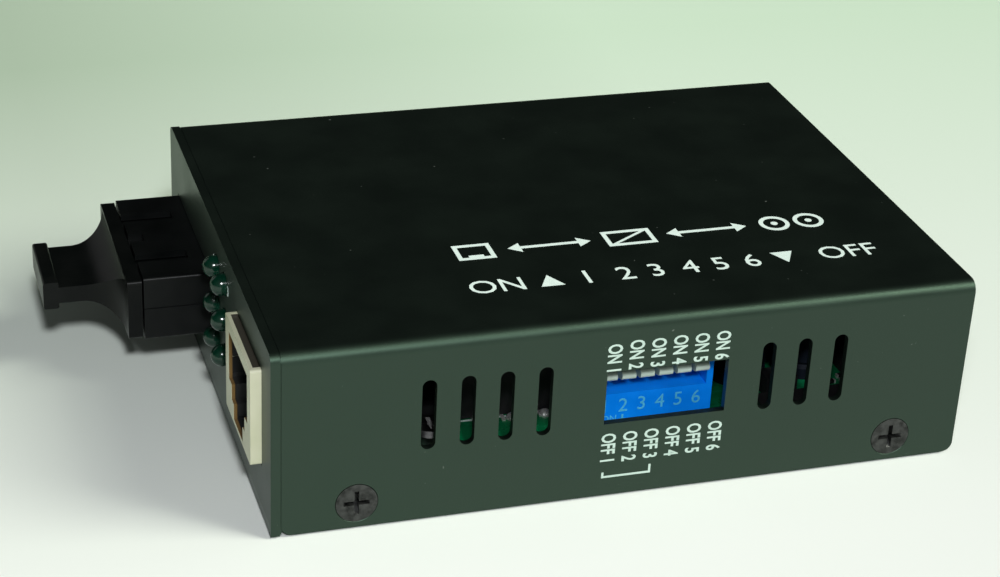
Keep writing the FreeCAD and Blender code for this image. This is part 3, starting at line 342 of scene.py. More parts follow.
black_screw = finish("black_oxide_steel", (0.012, 0.013, 0.012), (0.05, 0.052, 0.05),
                     (0.26, 0.42), blotch_mm=0.9, grain_mm=0.25, grain=0.25, metal=0.55)
print("black finishes:", case_paint.name, "and", black_screw.name)

# %% [markdown]
# The plastics are the ivory shell and black core of the copper port, the black
# fibre module and its caps, the blue switch block with its white levers, and the
# moulded chips. Each could have a network of its own. They differ only in colour,
# gloss and how coarse the grain is, so each is one call.

# %% Plastics
jack_cream = finish("ivory_plastic", (0.61, 0.62, 0.43), (0.67, 0.67, 0.49),
                    (0.30, 0.40), blotch_mm=5.0, grain_mm=0.5, grain=0.06)
jack_black = finish("jack_core_plastic", (0.012, 0.012, 0.013), (0.022, 0.022, 0.022),
                    (0.35, 0.5), grain_mm=0.35, grain=0.12)
transceiver_black = finish("transceiver_plastic", (0.0018, 0.0024, 0.0024),
                           (0.0034, 0.0040, 0.0040), (0.34, 0.44), blotch_mm=4.0,
                           grain_mm=0.3, grain=0.16, specular=0.22)
plug_black = finish("cap_plastic", (0.0018, 0.0024, 0.0023), (0.0036, 0.0042, 0.0040),
                    (0.30, 0.40), blotch_mm=5.0, grain_mm=0.4, grain=0.10, specular=0.17)
switch_blue = finish("blue_plastic", (0.0005, 0.200, 0.82), (0.001, 0.225, 0.90),
                     (0.30, 0.40), blotch_mm=3.0, grain_mm=0.3, grain=0.08, specular=0.25)
lever_white = finish("white_plastic", (0.46, 0.56, 0.50), (0.52, 0.63, 0.57),
                     (0.30, 0.42), blotch_mm=1.5, grain_mm=0.25, grain=0.08)
chip_black = finish("moulded_epoxy", (0.006, 0.006, 0.007), (0.012, 0.012, 0.013),
                    (0.5, 0.65), blotch_mm=2.0, grain_mm=0.15, grain=0.3)
print("finishes so far:", len(bpy.data.materials))

# %% [markdown]
# On bare metal the colour is that of the reflection, so Metallic is full and the
# colour bright. The brass pillars and the barrel of the power inlet are turned on
# a lathe. Rings could be cut in their mesh, but the marks are far too fine, so
# the grain is squeezed along the axis, and then it runs round the part.

# %% Metals
# Painted shade: a darker copy of the plated finish, for the screws inside the case.
shaded_screw_steel = finish("shaded_screw_finish", (0.10, 0.10, 0.10), (0.16, 0.16, 0.155),
                      (0.34, 0.50), blotch_mm=1.2, grain_mm=0.25, grain=0.2, metal=1.0)
standoff_brass = finish("turned_brass", (0.62, 0.44, 0.17), (0.74, 0.55, 0.24),
                        (0.22, 0.36), grain_mm=0.2, grain=0.15, metal=1.0, stretch=(1, 1, 6))
plated_steel = finish("zinc_plate", (0.55, 0.56, 0.55), (0.70, 0.70, 0.68),
                      (0.22, 0.38), blotch_mm=2.0, grain_mm=0.3, grain=0.12, metal=1.0)
barrel_metal = finish("nickel_barrel", (0.50, 0.50, 0.48), (0.62, 0.61, 0.58),
                      (0.25, 0.40), grain_mm=0.2, grain=0.12, metal=1.0, stretch=(6, 1, 1))
contact_metal = finish("gold_contact", (0.80, 0.62, 0.28), (0.88, 0.72, 0.40),
                       (0.20, 0.32), blotch_mm=1.5, grain_mm=0.2, grain=0.08, metal=1.0)
solder_tin = finish("bright_solder", (0.78, 0.79, 0.77), (0.88, 0.88, 0.86),
                    (0.20, 0.36), blotch_mm=0.7, grain_mm=0.3, grain=0.2, metal=0.7)
print("finishes with metals:", len(bpy.data.materials))

# %% [markdown]
# The lamps are green epoxy, and none of them is lit. Clear glass would show the
# board through them. Light goes only a little way in and comes out again, so the
# finish mixes a deep green body with some transmission, and the dome stays glossy
# enough to carry a highlight.

# %% Green lamps
lamp_green = finish("green_epoxy", (0.001, 0.024, 0.012), (0.002, 0.034, 0.018),
                    (0.12, 0.22), blotch_mm=2.0, grain_mm=0.6, grain=0.03)
shader_of(lamp_green).inputs["Transmission Weight"].default_value = 0.25
shader_of(lamp_green).inputs["IOR"].default_value = 1.5
print("lamps are", lamp_green.name)

# %% [markdown]
# The circuit board is green lacquer over copper. The copper shows through as a
# paler green, in straight tracks. They could be drawn one by one. The joints of a
# brick pattern are such lines already, and noise breaks them up, so nothing has
# to be drawn.

# %% Circuit board
TRACK_WIDTH = 0.22 * MM
TRACK_LENGTH = 9.2 * MM
TRACK_STEP = 1.8 * MM
TRACK_GREEN = (0.004, 0.190, 0.075)
board_green = finish("board_lacquer", (0.001, 0.150, 0.050), (0.002, 0.170, 0.060),
                     (0.22, 0.34), blotch_mm=7.0, grain_mm=0.5, grain=0.08)
tree = board_green.node_tree
tracks = add_node(tree, "ShaderNodeTexBrick")
tracks.offset = 0.37
tracks.inputs["Scale"].default_value = 1.0
tracks.inputs["Mortar Size"].default_value = TRACK_WIDTH
tracks.inputs["Mortar Smooth"].default_value = 0.1
tracks.inputs["Brick Width"].default_value = TRACK_LENGTH
tracks.inputs["Row Height"].default_value = TRACK_STEP
tree.links.new(position(tree), tracks.inputs["Vector"])
region = spread(tree, noise(tree, 11.0, detail=0.0), 0.46, 0.50)
both = add_node(tree, "ShaderNodeMath", operation="MULTIPLY")
tree.links.new(tracks.outputs["Fac"], both.inputs[0])
tree.links.new(region, both.inputs[1])
overpaint(board_green, both.outputs["Value"], TRACK_GREEN)
print("tracks run every", TRACK_STEP / MM, "mm")

# %% [markdown]
# Some parts change colour from one region to the next. An image with its own UV
# map could say where, but the regions here are plain boxes. A comparison on each
# axis is 1 near the middle of a box and 0 away from it, and the product of the
# three is the box. Object coordinates keep it in place when the part moves.

# %% A mask for a box
def mask_box(material, low, high):
    """1 inside a box whose corners are given in metres in the object's frame, 0 outside."""
    tree = material.node_tree
    along = axes_of(tree)
    inside = None
    for axis, least, most in zip("XYZ", low, high):
        middle, half = (least + most) / 2, (most - least) / 2
        within = add_node(tree, "ShaderNodeMath", operation="COMPARE")
        within.inputs[1].default_value = middle
        within.inputs[2].default_value = half
        tree.links.new(along[axis], within.inputs[0])
        if inside is None:
            inside = within.outputs["Value"]
            continue
        both = add_node(tree, "ShaderNodeMath", operation="MULTIPLY")
        tree.links.new(inside, both.inputs[0])
        tree.links.new(within.outputs["Value"], both.inputs[1])
        inside = both.outputs["Value"]
    return inside


def paint_box(material, low, high, colour):
    """Paints a colour inside a box in the object's frame."""
    overpaint(material, mask_box(material, low, high), colour)


print("masks count in metres; the object is",
      round((cad_box[1][0] - cad_box[0][0]) / MM, 1), "mm long")

# %% [markdown]
# The copper port's shell is ivory outside. Its mouth is painted with shade:
# black inside, brown on the cut edges of the front wall, and dark grey in the
# sunken roof strip.
# The shell is one part in the CAD, so boxes say where each colour is, and the
# later ones cover the earlier. On the real port the two guides beside the plug
# are ivory. Their box starts 0.02 mm behind their faces, so here they come out
# dark, and the box only tints the rim beside them.

# %% Copper port's mouth
jack_low, jack_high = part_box("rj45_housing")
FRONT_WALL = 0.5 * MM
SKIN = 0.03 * MM
MOUTH_EDGE_SHADE = (0.16, 0.095, 0.030)
MOUTH_SHADE = (0.010, 0.010, 0.011)
GUIDE_IVORY = (0.73, 0.735, 0.53)
ROOF_STRIP_SHADE = (0.050, 0.045, 0.034)
MOUTH_SIDE = 0.9 * MM
MOUTH_SILL = 0.3 * MM
MOUTH_HEAD = 0.75 * MM
GUIDE_REACH = (5.97 * MM, 7.2 * MM)
GUIDE_HEIGHTS = (5.55 * MM, 8.05 * MM)
GUIDE_DEPTH = 2.05 * MM
STRIP_SIDE = 0.7 * MM
STRIP_HEIGHTS = (0.6 * MM, 0.1 * MM)

behind_wall = jack_low.x + FRONT_WALL - SKIN
mouth_low = Vector((jack_low.x + SKIN, jack_low.y + MOUTH_SIDE, jack_low.z + MOUTH_SILL))
mouth_high = Vector((jack_high.x, jack_high.y - MOUTH_SIDE, jack_high.z - MOUTH_HEAD))
# Painted shade: brown on the cut edges of the front wall's opening.
paint_box(jack_cream, mouth_low, mouth_high, MOUTH_EDGE_SHADE)
mouth_low.x = behind_wall
# Painted shade: black over the inside of the mouth, behind the front wall.
paint_box(jack_cream, mouth_low, mouth_high, MOUTH_SHADE)
jack_middle = (jack_low.y + jack_high.y) / 2
for side in (-1, 1):
    guide_y = sorted(jack_middle + side * reach for reach in GUIDE_REACH)
    guide_low = (jack_low.x - SKIN, guide_y[0], jack_low.z + GUIDE_HEIGHTS[0])
    guide_high = (jack_low.x + GUIDE_DEPTH, guide_y[1], jack_low.z + GUIDE_HEIGHTS[1])
    paint_box(jack_cream, guide_low, guide_high, GUIDE_IVORY)
strip_low = (behind_wall, jack_low.y + STRIP_SIDE, jack_high.z - STRIP_HEIGHTS[0])
strip_high = (jack_high.x, jack_high.y - STRIP_SIDE, jack_high.z - STRIP_HEIGHTS[1])
# Painted shade: dark grey over the sunken roof strip.
paint_box(jack_cream, strip_low, strip_high, ROOF_STRIP_SHADE)
print("mouth is", round((mouth_high.y - mouth_low.y) / MM, 2), "mm wide")

# %% [markdown]
# The top of the switch block, with the recess that the levers stand in, is
# painted a deeper blue than its front: painted shade, where the recess lies in
# the shade of the levers. It could be a second slot on the part. The CAD part has
# only one, so a box over the top millimetres lays on the painted shade.

# %% Switch block's recess
RECESS_DEPTH = 2.6 * MM
RECESS_SHADE_BLUE = (0.0004, 0.115, 0.52)
RIM = 0.1 * MM
block_low, block_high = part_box("dip_housing")
recess_low = (block_low.x + RIM, block_low.y + RIM, block_high.z - RECESS_DEPTH)
recess_high = (block_high.x - RIM, block_high.y - RIM, block_high.z + SKIN)
# Painted shade: a deeper blue over the recess and the block's top.
paint_box(switch_blue, recess_low, recess_high, RECESS_SHADE_BLUE)
print("recess is painted", RECESS_DEPTH / MM, "mm deep")

# %% [markdown]
# A capacitor wears a dark printed sleeve and shows a bare metal top. The top could
# be a piece of its own. The height on the object says which is which, so one ramp
# on Z does both.

# %% Capacitor sleeve
capacitor_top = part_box("capacitor_1")[1].z
SLEEVE_END = 0.35 * MM
BARE_FROM = 0.30 * MM
BARE_METAL = (0.66, 0.66, 0.64)
capacitor_sleeve = finish("printed_sleeve", (0.004, 0.006, 0.010), (0.006, 0.009, 0.015),
                          (0.55, 0.65), blotch_mm=3.0, grain_mm=0.4, grain=0.06,
                          specular=0.08)
tree = capacitor_sleeve.node_tree
bare_top = spread(tree, axes_of(tree)["Z"], capacitor_top - SLEEVE_END,
                  capacitor_top - BARE_FROM)
overpaint(capacitor_sleeve, bare_top, BARE_METAL)
print("sleeves end at", round((capacitor_top - SLEEVE_END) / MM, 2), "mm")

# %% [markdown]
# Each CAD part came with a named slot. The finishes could be given part by part,
# but the slot's name already says what the part is made of, so a table from slot
# to finish dresses them all. Leads and pins that stand in solder are tinned, and
# the screws on the board get a darker copy of the plated finish: painted shade,
# for they sit inside the closed case.

# %% Dress the CAD nodes
slot_finish = {
    "case_paint": case_paint, "black_screw": black_screw, "plated_steel": plated_steel,
    "standoff_brass": standoff_brass, "board_green": board_green, "jack_cream": jack_cream,
    "black_plastic": jack_black, "transceiver_black": transceiver_black,
    "plug_black": plug_black, "switch_blue": switch_blue, "lever_white": lever_white,
    "lamp_green": lamp_green, "chip_black": chip_black,
    "capacitor_sleeve": capacitor_sleeve, "barrel_metal": barrel_metal,
    "contact_metal": contact_metal,
}
tinned = {"line_transformer_leads", "main_chip_leads", "dip_pins", "transceiver_pins"}
for name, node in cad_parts.items():
    for material_slot in node.material_slots:
        kind = material_slot.material.name.split(".")[0]
        dress = slot_finish[kind]
        if name in tinned:
            dress = solder_tin
        # The board screws take the darker copy, as painted shade.
        elif name.startswith("board_screw"):
            dress = shaded_screw_steel
        material_slot.material = dress
print("dressed:", len(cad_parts), "nodes in", len(slot_finish), "finishes")

# %% [markdown]
# ## The tray's front fold
# The tray is one bent sheet, and at the port end it was pressed into a tight
# corner. The CAD fold is rounder than that, so a copy of the tray, with the same
# faces, has the points of that one fold drawn in to a smaller radius. A CAD
# node's mesh is never changed, so the copy stands for it.

# %% Tight front fold
ROUND_FOLD = 1.6 * MM
TIGHT_FOLD = 0.45 * MM
TOUCH = 0.03 * MM
NUDGE = 0.001 * MM

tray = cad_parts["bottom_tray"]
tray_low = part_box("bottom_tray")[0]
fold_x, fold_z = tray_low.x + ROUND_FOLD, tray_low.z + ROUND_FOLD
share = TIGHT_FOLD / ROUND_FOLD
tray_copy = tray.data.copy()
moved = 0
for vertex in tray_copy.vertices:
    out_x, out_z = fold_x - vertex.co.x, fold_z - vertex.co.z
    on_fold = abs(math.hypot(out_x, out_z) - ROUND_FOLD) < TOUCH
    if on_fold and out_x > -NUDGE and out_z > -NUDGE:
        vertex.co.x = tray_low.x + TIGHT_FOLD - out_x * share
        vertex.co.z = tray_low.z + TIGHT_FOLD - out_z * share
        moved += 1
tight_tray = bpy.data.objects.new("tray_sheet", tray_copy)
scene.collection.objects.link(tight_tray)
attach(tight_tray, "case")
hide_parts("bottom_tray")
print("points drawn in at the fold:", moved)

# %% [markdown]
# Paint has run into the thin gap between the port panel and the lid, and half
# fills it. A dark line on the lid could stand for the gap, but a line has no
# depth when light grazes it. So it is a strip of mesh that follows the lid's edge
# down both sides, a little below the surface.

# %% Paint in the lid's gap
def strip_along(path, x0, x1, depth):
    """A closed strip between two planes of x, following a path of (y, z) points."""
    mesh = bmesh.new()
    rings = []
    for i, (y, z) in enumerate(path):
        before, after = path[max(i - 1, 0)], path[min(i + 1, len(path) - 1)]
        run_y, run_z = after[0] - before[0], after[1] - before[1]
        length = math.hypot(run_y, run_z)
        in_y, in_z = run_z / length * depth, -run_y / length * depth
        corners = ((x0, y, z), (x1, y, z), (x1, y + in_y, z + in_z), (x0, y + in_y, z + in_z))
        rings.append([mesh.verts.new(Vector(c) * MM) for c in corners])
    for first, second in zip(rings, rings[1:]):
        for i in range(4):
            j = (i + 1) % 4
            mesh.faces.new((first[i], first[j], second[j], second[i]))
    mesh.faces.new(rings[0])
    mesh.faces.new(rings[-1])
    bmesh.ops.recalc_face_normals(mesh, faces=mesh.faces)
    return mesh


def place_piece(name, mesh, material, body):
    """Links a finished mesh as a piece that rides on a body."""
    mesh.materials.clear()
    mesh.materials.append(material)
    piece = bpy.data.objects.new(name, mesh)
    scene.collection.objects.link(piece)
    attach(piece, body)
    return piece


cover_low, cover_high = (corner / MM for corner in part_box("top_cover"))
GAP_DEPTH = 0.10
LID_ROUND = 1.6
STRIP_STEPS = 8
STRIP_DEPTH = 0.5
STRIP_START = 1.15
STRIP_OVERLAP = 0.05
STRIP_FOOT = 0.2
side = cover_high.y - GAP_DEPTH
top = cover_high.z - GAP_DEPTH
bend = LID_ROUND - GAP_DEPTH
outline = [(-side, cover_low.z + STRIP_FOOT)]
for i in range(STRIP_STEPS + 1):
    turn = math.pi / 2 * i / STRIP_STEPS
    outline.append((-side + bend * (1 - math.cos(turn)), top - bend * (1 - math.sin(turn))))
outline += [(-y, z) for y, z in reversed(outline)]
gap_strip = strip_along(outline, tray_low.x / MM + STRIP_START,
                        cover_low.x + STRIP_OVERLAP, STRIP_DEPTH)
gap_mesh = bpy.data.meshes.new("gap_paint")
gap_strip.to_mesh(gap_mesh)
gap_strip.free()
place_piece("gap_paint", gap_mesh, case_paint, "case")
print("gap strip has", len(gap_mesh.polygons), "faces")

# %% [markdown]
# ## Printed signs
# The white signs are ink, a few hundredths of a millimetre thick. Each is cut
# from a flat curve that is given thickness, made a mesh, and only then laid on
# the paint, half sunk in it so that no gap shows. Words are only numbers, ON
# and OFF; the rest are plain pictograms.

# %% Flat shapes and words
CIRCLE_SIDES = 24


def curve_mesh(curve):
    """The mesh of a flat curve or a text, one unit thick."""
    curve.extrude = 0.5
    curve.resolution_u = 3
    holder = bpy.data.objects.new("cutter", curve)
    scene.collection.objects.link(holder)
    bpy.context.view_layer.update()
    graph = bpy.context.evaluated_depsgraph_get()
    mesh = bpy.data.meshes.new_from_object(holder.evaluated_get(graph))
    bpy.data.objects.remove(holder)
    bpy.data.curves.remove(curve)
    return mesh


def word(text, cap, x=0.0, y=0.0, squeeze=1.0, bold=0.0):
    """A word whose capitals are cap high, from x rightwards, as a flat mesh."""
    curve = bpy.data.curves.new("word", "FONT")
    curve.body = text
    curve.offset = bold
    mesh = curve_mesh(curve)
    xs = [v.co.x for v in mesh.vertices]
    ys = [v.co.y for v in mesh.vertices]
    size = cap / (max(ys) - min(ys))
    mesh.transform(Matrix.Translation((-min(xs), -min(ys), 0)))
    mesh.transform(Matrix.Diagonal((size * squeeze, size, 1, 1)))
    mesh.transform(Matrix.Translation((x, y, 0)))
    return mesh


def shape(*loops):
    """A flat mesh inside closed loops of points; a loop inside another is a hole."""
    curve = bpy.data.curves.new("shape", "CURVE")
    curve.dimensions = "2D"
    curve.fill_mode = "BOTH"
    for loop in loops:
        spline = curve.splines.new("POLY")
        spline.points.add(len(loop) - 1)
        for point, (x, y) in zip(spline.points, loop):
            point.co = (x, y, 0, 1)
        spline.use_cyclic_u = True
    return curve_mesh(curve)


def bar(x0, y0, x1, y1):
    """The four corners of a bar."""
    return [(x0, y0), (x1, y0), (x1, y1), (x0, y1)]


def circle(x, y, radius):
    """Points round a circle."""
    turn = 2 * math.pi / CIRCLE_SIDES
    return [(x + radius * math.cos(i * turn), y + radius * math.sin(i * turn))
            for i in range(CIRCLE_SIDES)]


def width_of(mesh):
    """How far a mesh reaches along X."""
    return max(v.co.x for v in mesh.vertices) - min(v.co.x for v in mesh.vertices)


print("a circle has", CIRCLE_SIDES, "sides")

# %% [markdown]
# The ink itself is a plain finish: white for most signs, a pale blue on the
# switch block. A sign could be a picture laid over the paint. Laid on as thin
# mesh instead, its edges stay sharp close up, and it has a place of its own. The
# function turns each sign so that it reads along one direction of the case and
# stands up along another.

# %% Ink
INK_MM = 0.04

white_ink = finish("white_ink", (0.76, 0.89, 0.84), (0.81, 0.93, 0.88),
                   (0.45, 0.60), blotch_mm=1.2, grain_mm=0.12, grain=0.3)
pale_ink = finish("pale_blue_ink", (0.065, 0.40, 0.66), (0.08, 0.46, 0.74),
                  (0.40, 0.55), blotch_mm=0.8, grain_mm=0.12, grain=0.2)


def stamp(name, meshes, origin, reading, upward, ink=white_ink):
    """Lays flat meshes, drawn in millimetres, on a face of the case as ink."""
    reading, upward = Vector(reading), Vector(upward)
    facing = reading.cross(upward)
    turn = Matrix((reading * MM, upward * MM, facing * INK_MM * MM)).transposed().to_4x4()
    sheet = bmesh.new()
    for mesh in meshes:
        sheet.from_mesh(mesh)
        bpy.data.meshes.remove(mesh)
    bmesh.ops.remove_doubles(sheet, verts=sheet.verts, dist=1e-4)
    bmesh.ops.recalc_face_normals(sheet, faces=sheet.faces)
    bmesh.ops.transform(sheet, matrix=Matrix.Translation(Vector(origin) * MM) @ turn,
                        verts=sheet.verts)
    mesh = bpy.data.meshes.new(name)
    sheet.to_mesh(mesh)
    sheet.free()
    return place_piece(name, mesh, ink, "case")


print("ink is", INK_MM, "mm thick")

# %% [markdown]
# ### The lid
# The first line draws what the box does: a copper jack on the left, the box in
# the middle, a pair of fibre ends on the right, and arrows both ways. The
# second line repeats which way each of the six switches goes.

# %% Pictograms
STROKE = 0.62
SIGN_HEIGHT = 4.3


def jack_sign(x, height):
    """A network jack seen from the front: a box with a stepped way-in."""
    wide = height * 1.2
    inner = [(x + STROKE, STROKE), (x + wide * 0.30, STROKE), (x + wide * 0.30, STROKE * 1.9),
             (x + wide * 0.70, STROKE * 1.9), (x + wide * 0.70, STROKE),
             (x + wide - STROKE, STROKE), (x + wide - STROKE, height - STROKE),
             (x + STROKE, height - STROKE)]
    return shape(bar(x, 0, x + wide, height), inner)


def two_way_arrow(x, length, height):
    """An arrow with a head at both ends."""
    middle, head, half = height / 2, height * 0.42, height * 0.30
    thin = STROKE / 2
    return shape([(x, middle), (x + head, middle - half), (x + head, middle - thin),
                  (x + length - head, middle - thin), (x + length - head, middle - half),
                  (x + length, middle), (x + length - head, middle + half),
                  (x + length - head, middle + thin), (x + head, middle + thin),
                  (x + head, middle + half)])


def converter_sign(x, height):
    """A box cut in two by a slanting line: one kind of signal in, another out."""
    wide, slant = height * 1.6, STROKE * 1.2
    left_half = [(x + STROKE, STROKE), (x + wide - STROKE - slant, height - STROKE),
                 (x + STROKE, height - STROKE)]
    right_half = [(x + STROKE + slant, STROKE), (x + wide - STROKE, STROKE),
                  (x + wide - STROKE, height - STROKE)]
    return shape(bar(x, 0, x + wide, height), left_half, right_half)


def fibre_pair_sign(x, height):
    """Two fibre ends: a ring with a dot in it, twice."""
    radius = height / 2
    loops = []
    for centre in (x + radius, x + radius * 3.35):
        loops += [circle(centre, radius, radius), circle(centre, radius, radius - STROKE),
                  circle(centre, radius, STROKE * 0.8)]
    return shape(*loops)


ARROW_LENGTH = 11.6
line_one = [jack_sign(0.0, SIGN_HEIGHT), two_way_arrow(7.2, ARROW_LENGTH, SIGN_HEIGHT),
            converter_sign(20.8, SIGN_HEIGHT), two_way_arrow(29.6, ARROW_LENGTH, SIGN_HEIGHT),
            fibre_pair_sign(43.2, SIGN_HEIGHT)]
print("pictograms:", len(line_one))

# %% [markdown]
# Both lines lie on the lid and read from the port end to the power end. The
# digits stand one pitch apart, so a loop sets them. The triangles beside ON and
# OFF point the way that a lever is pushed.

# %% Signs on the lid
DIGIT_CAP = 3.4
DIGIT_FIRST = 15.6
DIGIT_STEP = 4.45
SWITCHES = 6
lid_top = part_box("top_cover")[1].z / MM
stamp("lid_sign_ports", line_one, (-17.8, -15.6, lid_top), (1, 0, 0), (0, 1, 0))
line_two = [word("ON", DIGIT_CAP, 0.0), shape([(9.2, 0.2), (12.4, 0.2), (10.8, 3.2)])]
for i in range(SWITCHES):
    line_two.append(word(str(i + 1), DIGIT_CAP, DIGIT_FIRST + DIGIT_STEP * i))
line_two += [shape([(42.0, 3.2), (45.2, 3.2), (43.6, 0.2)]), word("OFF", DIGIT_CAP, 48.6)]
stamp("lid_sign_switches", line_two, (-18.7, -25.0, lid_top), (1, 0, 0), (0, 1, 0))
print("lid signs are", SIGN_HEIGHT, "and", DIGIT_CAP, "mm tall")

# %% [markdown]
# ### Beside the switches
# Each switch has its state written above and below the window, one narrow
# column each, read from the top down. A bracket under the first three columns
# ties them together. This ink is worn, so it has a duller white of its own. The
# words are made upright and turned as they are stamped, which keeps their widths
# easy to measure.

# %% Signs on the side
worn_ink = finish("worn_white_ink", (0.42, 0.54, 0.48), (0.48, 0.60, 0.54),
                  (0.45, 0.60), blotch_mm=2.0, grain_mm=0.2, grain=0.10)
side_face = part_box("top_cover")[0].y / MM
COLUMN_FIRST = -2.95
COLUMN_STEP = 2.93
LEGEND_CAP = 2.0
LEGEND_SQUEEZE = 0.66
LEGEND_BOLD = 0.022
ON_ENDS = -18.75
OFF_STARTS = -9.55
above, below = [], []
for i in range(SWITCHES):
    column = COLUMN_FIRST + COLUMN_STEP * i - LEGEND_CAP / 2
    number = str(i + 1)
    on_word = word("ON " + number, LEGEND_CAP, 0.0, column, LEGEND_SQUEEZE, LEGEND_BOLD)
    on_word.transform(Matrix.Translation((ON_ENDS - width_of(on_word), 0, 0)))
    above.append(on_word)
    below.append(word("OFF " + number, LEGEND_CAP, OFF_STARTS, column, LEGEND_SQUEEZE, LEGEND_BOLD))
stamp("legend_on", above, (0, side_face, 0), (0, 0, -1), (1, 0, 0), ink=worn_ink)
LINE = 0.30
LEFT, RIGHT, FOOT = -3.6, 2.85, 2.9
bracket = [shape(bar(LEFT, FOOT, LEFT + LINE, 3.75)),
           shape(bar(LEFT + LINE, FOOT, RIGHT, FOOT + LINE)),
           shape(bar(RIGHT, FOOT, RIGHT + LINE, 4.2))]
stamp("legend_off", below, (0, side_face, 0), (0, 0, -1), (1, 0, 0), ink=worn_ink)
stamp("legend_bracket", bracket, (0, side_face, 0), (1, 0, 0), (0, 0, 1), ink=worn_ink)
print("legend columns are", COLUMN_STEP, "mm apart")

# %% [markdown]
# The switch block is numbered under its levers in a pale ink, with a small arrow
# that shows which way is on. Each number's place could be typed in. It is taken
# from the middle of its lever instead, so it can't drift from the CAD.

# %% Signs on the switch block
NUMBER_CAP = 1.95
NUMBER_FOOT = 9.55
lever_middles = []
for i in range(SWITCHES):
    low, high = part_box("dip_lever_" + str(i + 1))
    lever_middles.append((low.x + high.x) / 2 / MM)
numbers = []
for i, middle in enumerate(lever_middles):
    digit = word(str(i + 1), NUMBER_CAP)
    digit.transform(Matrix.Translation((middle - width_of(digit) / 2, NUMBER_FOOT, 0)))
    numbers.append(digit)
numbers += [word("ON", 0.95, -2.2, 8.15), shape(bar(0.55, 8.5, 0.80, 9.1)),
            shape([(0.25, 8.5), (0.675, 8.05), (1.1, 8.5)])]
stamp("switch_numbers", numbers, (0, block_low.y / MM, 0), (1, 0, 0), (0, 0, 1),
      ink=pale_ink)
print("switch columns at", [round(m, 2) for m in lever_middles])

# %% [markdown]
# At the port end each lamp has its number beside it, on the outer side of its
# column. At the power end the usual sign with two small rings says which contact
# of the inlet is plus. A picture could hold both. They are stamped like the
# others instead, each turned to face out of its own end.

# %% Signs on the two ends
LAMPS = 6
LAMP_CAP = 1.5
BESIDE_LAMP = (1.75, -2.85)
panel = tray_low.x / MM
lamp_numbers = []
for i in range(LAMPS):
    low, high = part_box("led_" + str(i + 1))
    lamp_y, lamp_z = (low.y + high.y) / 2 / MM, (low.z + high.z) / 2 / MM
    across = BESIDE_LAMP[i >= LAMPS // 2] - lamp_y
    lamp_numbers.append(word(str(i + 1), LAMP_CAP, across, lamp_z - LAMP_CAP / 2))
stamp("lamp_numbers", lamp_numbers, (panel, 0, 0), (0, -1, 0), (0, 0, 1))
inlet_low, inlet_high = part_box("dc_inlet")
inlet_y = (inlet_low.y + inlet_high.y) / 2 / MM
SIGN_Z = 21.6
RING_AWAY = 4.2
HALF_LINE = 0.1
HALF_MARK = 0.5
CONTACT_RINGS = (0.95, 0.70, 0.35)
SMALL_RING = (1.05, 0.80)
polarity = [shape(*(circle(inlet_y, SIGN_Z, radius) for radius in CONTACT_RINGS))]
for side in (-1, 1):
    middle = inlet_y + side * RING_AWAY
    ends = sorted((middle - side * 1.0, inlet_y + side * CONTACT_RINGS[0]))
    polarity.append(shape(bar(ends[0], SIGN_Z - HALF_LINE, ends[1], SIGN_Z + HALF_LINE)))
    polarity.append(shape(*(circle(middle, SIGN_Z, radius) for radius in SMALL_RING)))
    polarity.append(shape(bar(middle - HALF_MARK, SIGN_Z - HALF_LINE,
                              middle + HALF_MARK, SIGN_Z + HALF_LINE)))
plus = inlet_y + RING_AWAY
polarity.append(shape(bar(plus - HALF_LINE, SIGN_Z - HALF_MARK,
                          plus + HALF_LINE, SIGN_Z + HALF_MARK)))
stamp("polarity_sign", polarity, (inlet_high.x / MM, 0, 0), (0, 1, 0), (0, 0, 1))
print("signs at the ends:", len(lamp_numbers) + 1)

# %% [markdown]
# ## On the circuit board
# Solder joints and surface-mount parts repeat, so Geometry Nodes make them. A
# tree takes a mesh of bare points, puts one shape on each, and ends by turning
# the copies into real mesh, because an exported model can't carry copies.

# %% Geometry Nodes helpers
def new_tree(name, **sizes):
    """A Geometry Nodes tree with a named number input for each size."""
    tree = bpy.data.node_groups.new(name, "GeometryNodeTree")
    tree.interface.new_socket("Points", in_out="INPUT", socket_type="NodeSocketGeometry")
    for size in sizes:
        tree.interface.new_socket(size, in_out="INPUT", socket_type="NodeSocketFloat")
    tree.interface.new_socket("Result", in_out="OUTPUT", socket_type="NodeSocketGeometry")
    return tree, tree.nodes.new("NodeGroupInput"), tree.nodes.new("NodeGroupOutput")


def grow(name, points, tree, material, body, slot_name, **sizes):
    """Runs a tree on bare points and keeps the result as a plain piece."""
    seeds = bpy.data.meshes.new(name + "_points")
    seeds.from_pydata([Vector(p) for p in points], [], [])
    holder = bpy.data.objects.new(name + "_points", seeds)
    scene.collection.objects.link(holder)
    modifier = holder.modifiers.new("grow", "NODES")
    modifier.node_group = tree
    for item in tree.interface.items_tree:
        if item.in_out == "INPUT" and item.name in sizes:
            modifier[item.identifier] = float(sizes[item.name])
    bpy.context.view_layer.update()
    graph = bpy.context.evaluated_depsgraph_get()
    mesh = bpy.data.meshes.new_from_object(holder.evaluated_get(graph))
    mesh.name = name
    bpy.data.objects.remove(holder)
    piece = place_piece(name, mesh, material, body)
    print(name, "has", len(points), "copies and", len(mesh.polygons), "faces")
    return piece


def end_tree(tree, instances, out, material):
    """Ends a tree in Realize Instances and Set Material."""
    real = tree.nodes.new("GeometryNodeRealizeInstances")
    paint = tree.nodes.new("GeometryNodeSetMaterial")
    paint.inputs["Material"].default_value = material
    tree.links.new(instances, real.inputs["Geometry"])
    tree.links.new(real.outputs["Geometry"], paint.inputs["Geometry"])
    tree.links.new(paint.outputs["Geometry"], out.inputs["Result"])


board_low, board_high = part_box("circuit_board")
print("board is", round((board_high.z - board_low.z) / MM, 2), "mm thick")

# %% [markdown]
# Every pin that goes through the board is soldered from below. The places of the
# pins could be typed in from a drawing. The CAD nodes already hold them: points
# that hang together belong to one pin, and the lowest of them are averaged. The
# pins are taken in the mesh's own order, so every run gives the same piece.

# %% Where the pins stand
PIN_FOOT = 0.2 * MM


